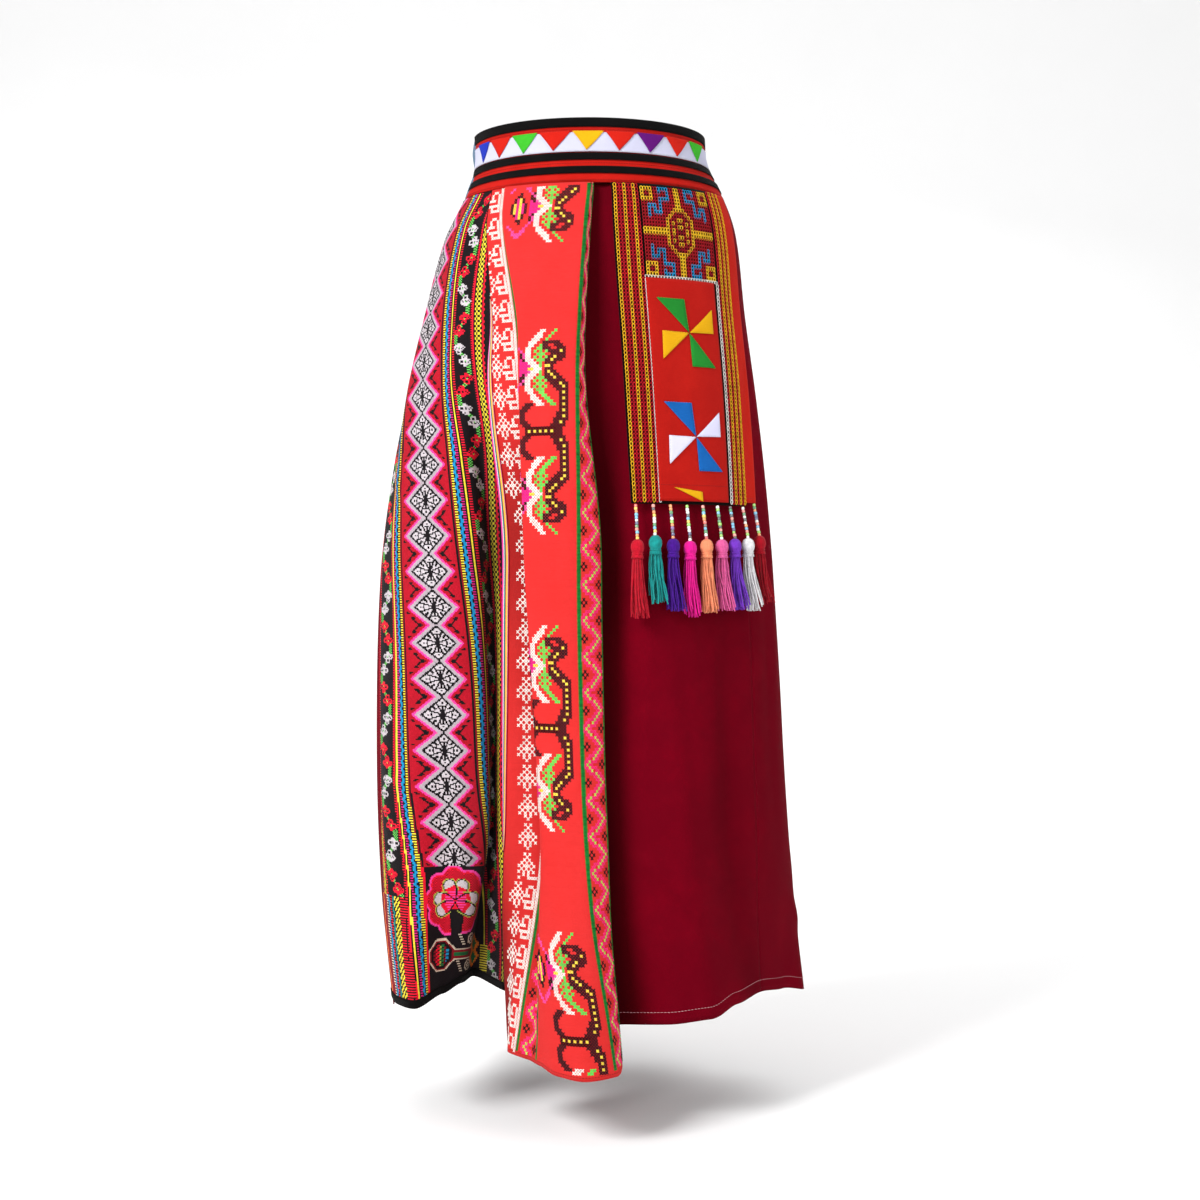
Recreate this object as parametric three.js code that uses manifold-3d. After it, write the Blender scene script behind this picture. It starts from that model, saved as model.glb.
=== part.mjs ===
// Wrap skirt of patched and embroidered cloth, worn form, hollow, held at the waist.
// Millimetres, +Z up, wearer's front towards -Y. Origin: centre of the waist, mid-height of the waistband.
import * as THREE from 'three';
import { mergeVertices } from 'three/addons/utils/BufferGeometryUtils.js';
import Module from 'manifold-3d';

const wasm = await Module();
wasm.setup();

// Driving sizes
const SEAM_GAP = 0.3;
const WALL = 1.6;
const BAND_WALL = 2.0;
const BAND_TOP = 34;
const BAND_BOTTOM = -33;
const WAIST_LINE = -33.6;
const BINDING_HEIGHT = 9;
const HEM_BINDING_HEIGHT = 10;
const BINDING_WALL = 1.0;
const TAPE_WALL = 0.8;
const PATCH_WALL = 0.6;
const PATCH_PARTS = 3;
const FLAP_WALL = 1.4;
const FLAP_BOTTOM = -356;
const LAYER_GAP = 0.45;
const PANEL_ROWS = 12;
const BAND_ROWS = 6;
const FLAP_ROWS = 10;
const TASSEL_COUNT = 9;
const STRANDS = 15;
const DEG = Math.PI / 180;

// The girth without folds: half width, sideways shift, depth in front and behind, by height
const girth = [
  { z: 34, half: 119.8, shift: -0.8, front: 98, back: 98 },
  { z: 15, half: 119.8, shift: 0.2, front: 99, back: 98 },
  { z: 0, half: 122.2, shift: 1.8, front: 101, back: 99 },
  { z: -17, half: 128.6, shift: 4.1, front: 104, back: 101 },
  { z: -33, half: 136.5, shift: 4.5, front: 108, back: 104 },
  { z: -71, half: 151.5, shift: 1.5, front: 118, back: 119 },
  { z: -155, half: 166.5, shift: -4.5, front: 133, back: 146 },
  { z: -239, half: 182, shift: -9, front: 145, back: 163 },
  { z: -324, half: 194, shift: -12, front: 152, back: 176 },
  { z: -420, half: 204, shift: -14, front: 157, back: 185 },
  { z: -576, half: 211, shift: -11, front: 161, back: 192 },
  { z: -745, half: 215, shift: -3, front: 164, back: 197 },
  { z: -861, half: 213, shift: 11, front: 165, back: 200 },
];

// Lengthwise ribs of the skirt, round the girth from the left seam by the front to the back.
// at: degrees from the front at waist, hip, thigh, knee and hem; out: stand-off from the girth there, mm;
// hem: height of the lower edge.
const RIB_LEVELS = [-33, -200, -420, -660, -861];
const ribs = [
  { name: 'seam_left', at: [-101, -95, -82, -72.5, -67.5], out: [0, 1, 1, 7, 22], hem: -858 },
  { name: 'flower_column', at: [-92, -86, -73, -65, -61], out: [1, 0, 1, 12, 31], hem: -861 },
  { name: 'left_lobe', at: [-86, -79, -66, -55.5, -54], out: [0, 2, 4, 10, 34], hem: -861 },
  { name: 'diamond_column', at: [-80, -65, -53.5, -50, -59], out: [1, 1, -1, -16, -11], hem: -853 },
  { name: 'shoulder', at: [-67, -51, -40, -40.5, -62], out: [0, 2, -21, -32, -36], hem: -845 },
  { name: 'valley', at: [-61, -43, -42, -46.5, -64.5], out: [-1, -3, -46, -60, -55], hem: -841 },
  { name: 'seam_front_left', at: [-55.5, -37.5, -34.5, -36, -44.5], out: [0, 0, -41, -44, -49], hem: -850 },
  { name: 'white_border', at: [-47.5, -25, -16, -19, -34], out: [0, 6, -28, -35, -22], hem: -897 },
  { name: 'recess', at: [-40, -17, -8.4, -5, -23.5], out: [-5, 5, -20, -31, -10], hem: -899 },
  { name: 'main_fold', at: [-46, -22.5, -17.5, -15, -19.5], out: [4, 18, 2, -12, 8], hem: -900 },
  { name: 'fold_face', at: [-33, -15, -9.5, -8, -12], out: [4, 22, 13, 2, 32], hem: -903 },
  { name: 'flute_crest', at: [-16.5, -7.5, -3.5, -3, -5], out: [3.5, 24, 17, 9, 42], hem: -905 },
  { name: 'green_line', at: [-2.5, -1.3, 1.3, 1.2, 2.5], out: [3.5, 23, 16, 10, 32], hem: -903 },
  { name: 'front_edge', at: [-0.5, 0.7, 9, 8.7, 5.8], out: [1.5, 9.5, 5, -2, 8], hem: -899 },
  { name: 'under_edge', at: [-3.5, -1, 8, 8, 5.2], out: [-1.5, -1.5, -8, -15, -13], hem: -896 },
  { name: 'seam_front_right', at: [-5, -2.5, 6.3, 5.5, 5], out: [-5.5, -8, -18.5, -26, -28], hem: -868 },
  { name: 'shadow_fold', at: [4, 10, 16, 15, 12], out: [-6.5, -8, -18, -22, -25], hem: -867 },
  { name: 'maroon_rise', at: [16, 21, 25, 25, 24.5], out: [-1, 1, -3, -10, -13], hem: -866 },
  { name: 'maroon_front', at: [31, 35, 37, 37, 39], out: [1, 2, 2, -1, -8], hem: -863 },
  { name: 'maroon_dip', at: [46, 49, 50, 51, 53], out: [0, -2, -4, -12, -19], hem: -854 },
  { name: 'seam_side', at: [60, 63, 65, 66, 68], out: [0.5, 1, -1, -9, -27], hem: -849 },
  { name: 'side_fold', at: [74, 77, 79, 80, 79.5], out: [1, 2, 2, -2, -19], hem: -852 },
  { name: 'right_side', at: [90, 91, 92, 92, 90], out: [0, 0, 1, 1, 1], hem: -859 },
  { name: 'back_dip_1', at: [106, 107, 108, 108, 108], out: [1, -3, -9, -14, -18], hem: -860 },
  { name: 'back_fold_1', at: [122, 123, 124, 125, 126], out: [1, 4, 7, 9, 11], hem: -863 },
  { name: 'back_dip_2', at: [138, 139, 140, 142, 144], out: [0, -4, -10, -17, -23], hem: -861 },
  { name: 'back_fold_2', at: [155, 156, 157, 159, 161], out: [1, 4, 8, 11, 15], hem: -864 },
  { name: 'back_dip_3', at: [172, 173, 174, 176, 178], out: [0, -3, -9, -15, -21], hem: -861 },
  { name: 'back_fold_3', at: [189, 190, 191, 193, 195], out: [1, 4, 8, 12, 16], hem: -864 },
  { name: 'back_dip_4', at: [206, 207, 209, 212, 214], out: [0, -3, -8, -14, -19], hem: -860 },
  { name: 'back_fold_4', at: [222, 224, 228, 232, 235], out: [1, 3, 6, 8, 8], hem: -861 },
  { name: 'left_dip', at: [236, 240, 248, 254, 257], out: [0, -2, -4, -6, -10], hem: -859 },
  { name: 'left_side', at: [248, 254, 266, 273, 276], out: [0, 0, 1, 0, -4], hem: -859 },
];
const ribIndex = Object.fromEntries(ribs.map((rib, i) => [rib.name, i]));

// Colour, roughness of each cloth
const cloths = {
  band_red: ['#d0281f', 0.85], black: ['#14110f', 0.9], white: ['#e9e6df', 0.85],
  chambray: ['#7f96ad', 0.9], left_panel: ['#7d2430', 0.9], front_panel: ['#d4281c', 0.88],
  maroon: ['#7d0b24', 0.82], ribbon: ['#d9a9a0', 0.7], flap: ['#b9481e', 0.9],
  flap_red: ['#d6251c', 0.8], strip_red: ['#e0301f', 0.85], green: ['#2f9e3a', 0.8],
  yellow: ['#f0b91c', 0.8], blue: ['#1f6fb8', 0.8], royal: ['#2b3fae', 0.8],
  leaf: ['#3fae2e', 0.8], lilac: ['#dcd8ea', 0.8], purple: ['#7a2b8c', 0.8],
};

// Smooth monotone interpolation of a short table
function slopes(xs, ys) {
  const d = xs.slice(1).map((x, i) => (ys[i + 1] - ys[i]) / (x - xs[i]));
  return xs.map((x, i) => {
    if (i === 0) return d[0];
    if (i === xs.length - 1) return d[i - 1];
    return d[i - 1] * d[i] <= 0 ? 0 : (2 * d[i - 1] * d[i]) / (d[i - 1] + d[i]);
  });
}

function interpolator(xs, ys) {
  const m = slopes(xs, ys);
  const last = xs.length - 1;
  return (x) => {
    if (x <= xs[0]) return ys[0] + m[0] * (x - xs[0]);
    if (x >= xs[last]) return ys[last] + m[last] * (x - xs[last]);
    let i = 0;
    while (x > xs[i + 1]) i += 1;
    const h = xs[i + 1] - xs[i];
    const t = (x - xs[i]) / h;
    const a = (1 + 2 * t) * (1 - t) * (1 - t) * ys[i] + t * (1 - t) * (1 - t) * h * m[i];
    return a + t * t * (3 - 2 * t) * ys[i + 1] + t * t * (t - 1) * h * m[i + 1];
  };
}

const depthOf = (z) => -z;
const girthAt = Object.fromEntries(['half', 'shift', 'front', 'back'].map((key) => [
  key, interpolator(girth.map((row) => depthOf(row.z)), girth.map((row) => row[key])),
]));
const ribAt = ribs.map((rib) => ({
  at: interpolator(RIB_LEVELS.map(depthOf), rib.at),
  out: interpolator(RIB_LEVELS.map(depthOf), rib.out),
}));

// Point of the girth at an angle from the front, moved out
function ringPoint(angle, out, z) {
  const d = depthOf(z);
  const s = Math.sin(angle * DEG);
  const c = Math.cos(angle * DEG);
  const deep = c > 0 ? girthAt.front(d) : girthAt.back(d);
  const r = 1 / Math.hypot(s / girthAt.half(d), c / deep) + out;
  return [girthAt.shift(d) + r * s, -r * c];
}

// Rib position round the skirt, counted past the last rib back to the first
function ribPoint(i, z) {
  const n = ribs.length;
  const rib = ribAt[((i % n) + n) % n];
  return ringPoint(rib.at(depthOf(z)), rib.out(depthOf(z)), z);
}

// Centripetal curve through the ribs of one height; t counts ribs
function sectionPoint(t, z) {
  const i = Math.floor(t);
  const p = [-1, 0, 1, 2].map((k) => ribPoint(i + k, z));
  const gap = [0, 1, 2].map((k) => Math.sqrt(Math.hypot(p[k + 1][0] - p[k][0], p[k + 1][1] - p[k][1])));
  const u = t - i;
  return [0, 1].map((c) => {
    const v1 = (p[1][c] - p[0][c]) / gap[0] - (p[2][c] - p[0][c]) / (gap[0] + gap[1])
      + (p[2][c] - p[1][c]) / gap[1];
    const v2 = (p[2][c] - p[1][c]) / gap[1] - (p[3][c] - p[1][c]) / (gap[1] + gap[2])
      + (p[3][c] - p[2][c]) / gap[2];
    const a = p[1][c];
    const b = v1 * gap[1];
    const d = v2 * gap[1];
    const e = p[2][c];
    return a + b * u + (3 * (e - a) - 2 * b - d) * u * u + (2 * (a - e) + b + d) * u * u * u;
  });
}

const hemTable = (t, hems) => {
  const i = Math.min(Math.floor(t), hems.length - 2);
  const u = t - i;
  return hems[i] + (hems[i + 1] - hems[i]) * u * u * (3 - 2 * u);
};

// Point of a surface moved out along its level normal
function lifted(curve, t, z, lift) {
  const step = 1e-3;
  const a = curve(t - step, z);
  const b = curve(t + step, z);
  const p = curve(t, z);
  const tx = b[0] - a[0];
  const ty = b[1] - a[1];
  const l = Math.hypot(tx, ty);
  return new THREE.Vector3(p[0] + (lift * ty) / l, p[1] - (lift * tx) / l, z);
}

function speed(curve, t, z) {
  const step = 1e-3;
  const a = curve(t - step, z);
  const b = curve(t + step, z);
  return Math.hypot(b[0] - a[0], b[1] - a[1]) / (2 * step);
}

// Closed thin wall from a grid of pairs [outer, inner]
function wallGeometry(grid) {
  const rows = grid.length;
  const cols = grid[0].length;
  const positions = [];
  const index = [];
  for (const side of [0, 1]) {
    for (const row of grid) for (const pair of row) positions.push(...pair[side].toArray());
  }
  const id = (side, r, c) => side * rows * cols + r * cols + c;
  const quad = (a, b, c, d) => index.push(a, b, c, a, c, d);
  for (let r = 0; r < rows - 1; r += 1) {
    for (let c = 0; c < cols - 1; c += 1) {
      quad(id(0, r, c), id(0, r + 1, c), id(0, r + 1, c + 1), id(0, r, c + 1));
      quad(id(1, r, c), id(1, r, c + 1), id(1, r + 1, c + 1), id(1, r + 1, c));
    }
  }
  for (let c = 0; c < cols - 1; c += 1) {
    quad(id(0, 0, c), id(0, 0, c + 1), id(1, 0, c + 1), id(1, 0, c));
    quad(id(0, rows - 1, c), id(1, rows - 1, c), id(1, rows - 1, c + 1), id(0, rows - 1, c + 1));
  }
  for (let r = 0; r < rows - 1; r += 1) {
    quad(id(0, r, 0), id(1, r, 0), id(1, r + 1, 0), id(0, r + 1, 0));
    quad(id(0, r, cols - 1), id(0, r + 1, cols - 1), id(1, r + 1, cols - 1), id(1, r, cols - 1));
  }
  const geometry = new THREE.BufferGeometry();
  geometry.setAttribute('position', new THREE.Float32BufferAttribute(positions, 3));
  geometry.setIndex(index);
  return geometry;
}

// Wall over columns t and heights z(t, v), v from 0 at the top to 1 at the bottom
function clothWall({ curve, columns, rows, height, lift, wall, trim = SEAM_GAP / 2 }) {
  const last = columns.length - 1;
  const grid = [];
  for (const v of rows) {
    grid.push(columns.map((t, c) => {
      const z = height(t, v);
      const edge = c === 0 ? trim : c === last ? -trim : 0;
      const s = t + edge / speed(curve, t, z);
      const base = typeof lift === 'function' ? lift(s, z) : lift;
      return [lifted(curve, s, z, base + wall / 2), lifted(curve, s, z, base - wall / 2)];
    }));
  }
  return wallGeometry(grid);
}

function spread(from, to, count) {
  return Array.from({ length: count + 1 }, (_, i) => from + ((to - from) * i) / count);
}

const skirt = new THREE.Group();
function add(name, geometry, cloth) {
  const [color, roughness] = cloths[cloth];
  const mesh = new THREE.Mesh(geometry, new THREE.MeshStandardMaterial({ color, roughness, metalness: 0 }));
  mesh.name = name;
  skirt.add(mesh);
}

// Skirt panels between their seams
// Rows from the waist to the hem, one of them just above the folded hem
const HEM_ROW = 0.984;
const panelRows = [...spread(0, 1, PANEL_ROWS).slice(0, -1), HEM_ROW, 1];
const hemsAll = ribs.map((rib) => rib.hem);
hemsAll.push(hemsAll[0]);
const panels = [
  { name: 'panel_left', from: 'seam_left', to: 'seam_front_left', perRib: 3, cloth: 'left_panel',
    hems: {}, raise: HEM_BINDING_HEIGHT - 1 },
  { name: 'panel_front', from: 'seam_front_left', to: 'seam_front_right', perRib: 3, cloth: 'front_panel',
    hems: { seam_front_left: -893, seam_front_right: -894 }, raise: 0, trim: 0.45 },
  { name: 'panel_right', from: 'seam_front_right', to: 'seam_side', perRib: 3, cloth: 'maroon',
    hems: {}, raise: 0, trim: 0.45 },
  { name: 'panel_back_right', from: 'seam_side', to: 'back_dip_3', perRib: 2, cloth: 'maroon',
    hems: {}, raise: 0 },
  { name: 'panel_back_left', from: 'back_dip_3', to: 'seam_left', perRib: 2, cloth: 'maroon',
    hems: {}, raise: 0 },
];
function panelHems(panel) {
  const hems = hemsAll.slice();
  for (const [name, z] of Object.entries(panel.hems)) hems[ribIndex[name]] = z;
  return hems;
}
for (const panel of panels) {
  const from = ribIndex[panel.from];
  const to = ribIndex[panel.to] || ribs.length;
  const hems = panelHems(panel);
  const columns = spread(from, to, (to - from) * panel.perRib);
  const height = (t, v) => WAIST_LINE + (hemTable(t, hems) + panel.raise - WAIST_LINE) * v;
  add(panel.name, clothWall({
    curve: sectionPoint, columns, rows: panelRows, height, lift: 0, wall: WALL,
    trim: panel.trim ?? SEAM_GAP / 2,
  }), panel.cloth);
}

// A band folded over an edge: the outline of its section, swept along the columns
function foldedOver({ curve, columns, edge, away, reach, inner, wall, lift = 0, trim = SEAM_GAP / 2 }) {
  const out = inner + wall;
  const profile = [
    [out, -reach], [out, wall], [-out, wall], [-out, -reach], [-inner, -reach], [-inner, 0], [inner, 0],
    [inner, -reach],
  ];
  const n = profile.length;
  const last = columns.length - 1;
  const positions = [];
  const index = [];
  columns.forEach((t, c) => {
    const z0 = edge(t);
    const shift = c === 0 ? trim : c === last ? -trim : 0;
    const s = t + shift / speed(curve, t, z0);
    for (const [o, h] of profile) positions.push(...lifted(curve, s, z0 + away * h, lift + o).toArray());
  });
  const turn = (a, b, c) => (away > 0 ? index.push(a, b, c) : index.push(a, c, b));
  for (let c = 0; c < last; c += 1) {
    for (let k = 0; k < n; k += 1) {
      const a = c * n + k;
      const b = c * n + ((k + 1) % n);
      turn(a, a + n, b + n);
      turn(a, b + n, b);
    }
  }
  const cap = [[0, 1, 6], [0, 6, 7], [1, 2, 5], [1, 5, 6], [2, 3, 4], [2, 4, 5]];
  for (const [a, b, d] of cap) {
    turn(a, b, d);
    turn(last * n + a, last * n + d, last * n + b);
  }
  const geometry = new THREE.BufferGeometry();
  geometry.setAttribute('position', new THREE.Float32BufferAttribute(positions, 3));
  geometry.setIndex(index);
  return geometry;
}

// Black binding round the lower edge of the left panel
const leftHems = panelHems(panels[0]);
add('hem_binding', foldedOver({
  curve: sectionPoint,
  columns: spread(ribIndex.seam_left, ribIndex.seam_front_left, ribIndex.seam_front_left * 3),
  edge: (t) => hemTable(t, leftHems) + HEM_BINDING_HEIGHT - 1 - SEAM_GAP,
  away: -1,
  reach: HEM_BINDING_HEIGHT - 1 - BINDING_WALL,
  inner: WALL / 2 + SEAM_GAP,
  wall: BINDING_WALL,
}), 'black');

// Woven ribbon over the seam of the left and front panels, narrowing to both ends
const RIBBON_TOP = -150;
const RIBBON_BOTTOM = -700;
const RIBBON_WIDTH = 7.5;
const RIBBON_GAP = 1.0;
function ribbonGeometry(rows = 12) {
  const grid = [];
  for (let r = 0; r <= rows; r += 1) {
    const v = r / rows;
    const z = RIBBON_TOP + (RIBBON_BOTTOM - RIBBON_TOP) * v;
    const width = 0.6 + (RIBBON_WIDTH - 0.6) * Math.sin(Math.PI * v) ** 0.6;
    const from = ribIndex.seam_front_left + SEAM_GAP / speed(sectionPoint, ribIndex.seam_front_left, z);
    const across = width / speed(sectionPoint, from + 0.1, z);
    const lift = WALL / 2 + RIBBON_GAP + PATCH_WALL / 2;
    grid.push([0, 1].map((k) => [1, -1].map((side) => lifted(
      sectionPoint, from + across * k, z, lift + (side * PATCH_WALL) / 2))));
  }
  return wallGeometry(grid);
}
add('ribbon', ribbonGeometry(), 'ribbon');

// Waistband: red front, gathered back, folded binding on the top edge, tapes and the strip of triangles
const FRONT_FROM = -82;
const FRONT_TO = 99;
const BAND_COLUMNS = 36;
const bandFront = spread(FRONT_FROM, FRONT_TO, BAND_COLUMNS);
const band = (angle, z) => ringPoint(angle, 0, z);
const bandEdge = BAND_TOP - BINDING_WALL;
add('waistband_front', clothWall({
  curve: band, columns: bandFront, rows: spread(0, 1, BAND_ROWS), lift: 0, wall: BAND_WALL,
  height: (t, v) => bandEdge - SEAM_GAP + (BAND_BOTTOM - bandEdge + SEAM_GAP) * v,
}), 'band_red');
add('top_binding', foldedOver({
  curve: band, columns: bandFront, edge: () => bandEdge, away: 1,
  reach: BINDING_HEIGHT - BINDING_WALL, inner: BAND_WALL / 2 + SEAM_GAP, wall: BINDING_WALL,
}), 'black');

const GATHERS = 20;
const GATHER_DEPTH = 2.2;
const TUBE_DEPTH = 3.2;
const bandHeight = BAND_TOP - BAND_BOTTOM;
function gathered(angle, z) {
  const v = (BAND_TOP - z) / bandHeight;
  const tube = Math.abs(Math.sin(2 * Math.PI * v));
  const along = (angle - FRONT_TO) / (360 + FRONT_FROM - FRONT_TO);
  const fade = Math.min(1, 12 * along, 12 * (1 - along));
  const wave = Math.cos(2 * Math.PI * GATHERS * along);
  return ringPoint(angle, fade * (TUBE_DEPTH * tube + GATHER_DEPTH * wave * (0.5 + 0.5 * tube)), z);
}
add('waistband_back', clothWall({
  curve: gathered, columns: spread(FRONT_TO, 360 + FRONT_FROM, GATHERS * 3), rows: spread(0, 1, BAND_ROWS), lift: 0, wall: WALL,
  height: (t, v) => BAND_TOP + (BAND_BOTTOM - BAND_TOP) * v,
}), 'chambray');

const bandFace = BAND_WALL / 2 + LAYER_GAP;
const bandStrips = [
  { name: 'triangle_strip', top: 20, bottom: -1, cloth: 'white', wall: PATCH_WALL, rows: spread(0, 1, 3) },
  { name: 'upper_tape', top: -2, bottom: -9.5, cloth: 'black', wall: TAPE_WALL, rows: [0, 1] },
  { name: 'lower_tape', top: -16, bottom: -23.5, cloth: 'black', wall: TAPE_WALL, rows: [0, 1] },
];
for (const strip of bandStrips) {
  add(strip.name, clothWall({
    curve: band, columns: bandFront, rows: strip.rows, lift: bandFace + strip.wall / 2, wall: strip.wall,
    height: (t, v) => strip.top + (strip.bottom - strip.top) * v,
  }), strip.cloth);
}

// Flat patch with straight sides, bent over the surface below it
function patch(corners, at, wall, parts) {
  const points = [];
  const key = (i, j) => (i * (i + 1)) / 2 + j;
  for (let i = 0; i <= parts; i += 1) {
    for (let j = 0; j <= i; j += 1) {
      const wa = 1 - i / parts;
      const wc = j / parts;
      const wb = 1 - wa - wc;
      points.push([0, 1].map((k) => wa * corners[0][k] + wb * corners[1][k] + wc * corners[2][k]));
    }
  }
  const positions = [];
  for (const side of [0.5, -0.5]) for (const [a, b] of points) positions.push(...at(a, b, side * wall).toArray());
  const index = [];
  const n = points.length;
  const tri = (a, b, c) => {
    index.push(a, b, c);
    index.push(n + a, n + c, n + b);
  };
  for (let i = 0; i < parts; i += 1) {
    for (let j = 0; j <= i; j += 1) {
      tri(key(i, j), key(i + 1, j), key(i + 1, j + 1));
      if (j < i) tri(key(i, j), key(i + 1, j + 1), key(i, j + 1));
    }
  }
  const rim = [];
  for (let i = 0; i < parts; i += 1) rim.push([key(i, 0), key(i + 1, 0)]);
  for (let j = 0; j < parts; j += 1) rim.push([key(parts, j), key(parts, j + 1)]);
  for (let i = parts; i > 0; i -= 1) rim.push([key(i, i), key(i - 1, i - 1)]);
  for (const [a, b] of rim) index.push(a, n + a, n + b, a, n + b, b);
  const geometry = new THREE.BufferGeometry();
  geometry.setAttribute('position', new THREE.Float32BufferAttribute(positions, 3));
  geometry.setIndex(index);
  return geometry;
}

// Coloured triangles of the band, pointing down, by the angles of their upper corners
const TRIANGLE_TOP = 18.8;
const TRIANGLE_TIP = 0.2;
const TRIANGLE_GAP = 0.6;
const bandTriangles = [
  { from: -73.3, to: -61.4, cloth: 'royal' }, { from: -61.4, to: -45.9, cloth: 'band_red' },
  { from: -45.9, to: -29.6, cloth: 'leaf' }, { from: -29.6, to: -10.3, cloth: 'band_red' },
  { from: -10.3, to: 8.7, cloth: 'yellow' }, { from: 8.7, to: 26.9, cloth: 'band_red' },
  { from: 26.9, to: 44.3, cloth: 'purple' }, { from: 44.3, to: 60.6, cloth: 'band_red' },
  { from: 60.6, to: 75.4, cloth: 'leaf' },
];
const stripFace = bandFace + PATCH_WALL + LAYER_GAP;
const onStrip = (angle, z, side) => lifted(band, angle, z, stripFace + PATCH_WALL / 2 + side);
bandTriangles.forEach((row, i) => {
  const from = row.from + TRIANGLE_GAP / 2;
  const to = row.to - TRIANGLE_GAP / 2;
  const corners = [[(from + to) / 2, TRIANGLE_TIP], [to, TRIANGLE_TOP], [from, TRIANGLE_TOP]];
  add(`band_triangle_${i + 1}`, patch(corners, onStrip, PATCH_WALL, PATCH_PARTS), row.cloth);
});

// Hanging flap over the right panel; a runs across it, 0 left to 1 right, z down it
const flapSide = [
  { z: -33, left: 8.5, right: 74 },
  { z: -200, left: 15, right: 69.5 },
  { z: -356, left: 19, right: 67 },
];
const flapLeft = interpolator(flapSide.map((row) => depthOf(row.z)), flapSide.map((row) => row.left));
const flapRight = interpolator(flapSide.map((row) => depthOf(row.z)), flapSide.map((row) => row.right));
const FLAP_STANDOFF = [
  { z: -33, out: 3.4 }, { z: -90, out: 5 }, { z: -200, out: 7 }, { z: -356, out: 8 }, { z: -480, out: 8 },
];
const flapStandoff = interpolator(FLAP_STANDOFF.map((row) => depthOf(row.z)), FLAP_STANDOFF.map((row) => row.out));
const flap = (a, z) => {
  const d = depthOf(z);
  const angle = flapLeft(d) + (flapRight(d) - flapLeft(d)) * a;
  return ringPoint(angle, flapStandoff(d), z);
};
const STRIP_FROM = 0.885;
const STRIP_SHORTER = 4;
const flapTop = WAIST_LINE;
add('flap_cloth', clothWall({
  curve: flap, columns: spread(0, STRIP_FROM, 14), rows: spread(0, 1, FLAP_ROWS), lift: 0, wall: FLAP_WALL,
  height: (t, v) => flapTop + (FLAP_BOTTOM - flapTop) * v,
}), 'flap');
add('flap_side_strip', clothWall({
  curve: flap, columns: spread(STRIP_FROM, 1, 2), rows: spread(0, 1, FLAP_ROWS), lift: 0, wall: FLAP_WALL,
  height: (t, v) => flapTop + (FLAP_BOTTOM + STRIP_SHORTER - flapTop) * v,
}), 'strip_red');

const flapFace = FLAP_WALL / 2 + LAYER_GAP;
const CENTRE = { left: 0.205, right: 0.725, top: -131, bottom: -353 };
add('flap_centre', clothWall({
  curve: flap, columns: spread(CENTRE.left, CENTRE.right, 7), rows: spread(0, 1, FLAP_ROWS - 2), wall: PATCH_WALL,
  lift: flapFace + PATCH_WALL / 2,
  height: (t, v) => CENTRE.top + (CENTRE.bottom - CENTRE.top) * v,
}), 'flap_red');

// Pinwheels: four triangles each round a centre, in millimetres across and down the flap
const pinwheels = [
  { name: 'upper', z: -185, colours: ['green', 'yellow', 'green', 'yellow'] },
  { name: 'lower', z: -289, colours: ['blue', 'lilac', 'blue', 'lilac'] },
];
const BLADE = 34;
const bladeCorners = [
  [[0, 0], [-3, BLADE], [-BLADE, BLADE]],
  [[0, 0], [BLADE - 4, 1], [BLADE - 4, BLADE - 8]],
  [[0, 0], [1, -BLADE], [BLADE - 4, -BLADE]],
  [[0, 0], [-BLADE + 4, 1], [-BLADE + 3, -BLADE + 6]],
];
const centreFace = flapFace + PATCH_WALL + LAYER_GAP;
const CENTRE_MIDDLE = (CENTRE.left + CENTRE.right) / 2;
function onCentre(z0) {
  return (across, up, side) => {
    const z = z0 + up;
    const a = CENTRE_MIDDLE + across / speed(flap, CENTRE_MIDDLE, z);
    return lifted(flap, a, z, centreFace + PATCH_WALL / 2 + side);
  };
}
function counterClockwise(corners) {
  const [a, b, c] = corners;
  const cross = (b[0] - a[0]) * (c[1] - a[1]) - (b[1] - a[1]) * (c[0] - a[0]);
  return cross > 0 ? corners : [a, c, b];
}
for (const wheel of pinwheels) {
  bladeCorners.forEach((corners, i) => {
    const apart = corners.map(([x, y]) => {
      const mx = (corners[1][0] + corners[2][0]) / 3;
      const my = (corners[1][1] + corners[2][1]) / 3;
      return [x + (mx - x) * 0.03 + mx * 0.02, y + (my - y) * 0.03 + my * 0.02];
    });
    add(`pinwheel_${wheel.name}_${i + 1}`, patch(counterClockwise(apart), onCentre(wheel.z), PATCH_WALL, PATCH_PARTS),
      wheel.colours[i]);
  });
}
const LOW_PATCH = [[-27, 4.5], [4, 0.5], [4, -9]];
const LOW_PATCH_Z = -344;
add('flap_low_patch', patch(counterClockwise(LOW_PATCH), onCentre(LOW_PATCH_Z), PATCH_WALL, PATCH_PARTS), 'yellow');

// Bead strings and tassels below the flap
const tassels = [
  { a: 0.03, string: 35, length: 78, colour: '#c01624' }, { a: 0.155, string: 31, length: 68, colour: '#1c8f86' },
  { a: 0.28, string: 34, length: 72, colour: '#4a1d7a' }, { a: 0.4, string: 36, length: 76, colour: '#e0218a' },
  { a: 0.52, string: 34, length: 74, colour: '#f6a48c' }, { a: 0.635, string: 34, length: 72, colour: '#f070b0' },
  { a: 0.74, string: 33, length: 72, colour: '#8a4fd0' }, { a: 0.855, string: 32, length: 74, colour: '#f2eef2' },
  { a: 0.97, string: 33, length: 70, colour: '#a80f20' },
];
const STRING_RADIUS = 1.5;
const HEAD_RADIUS = 6.4;
const HEAD_HEIGHT = 15;
const STRAND_RADIUS = 1.05;
const FRINGE_RADIUS = 7.4;
const STRING_LIFT = 1;
const HEAD_LIFT = 8;

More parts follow.
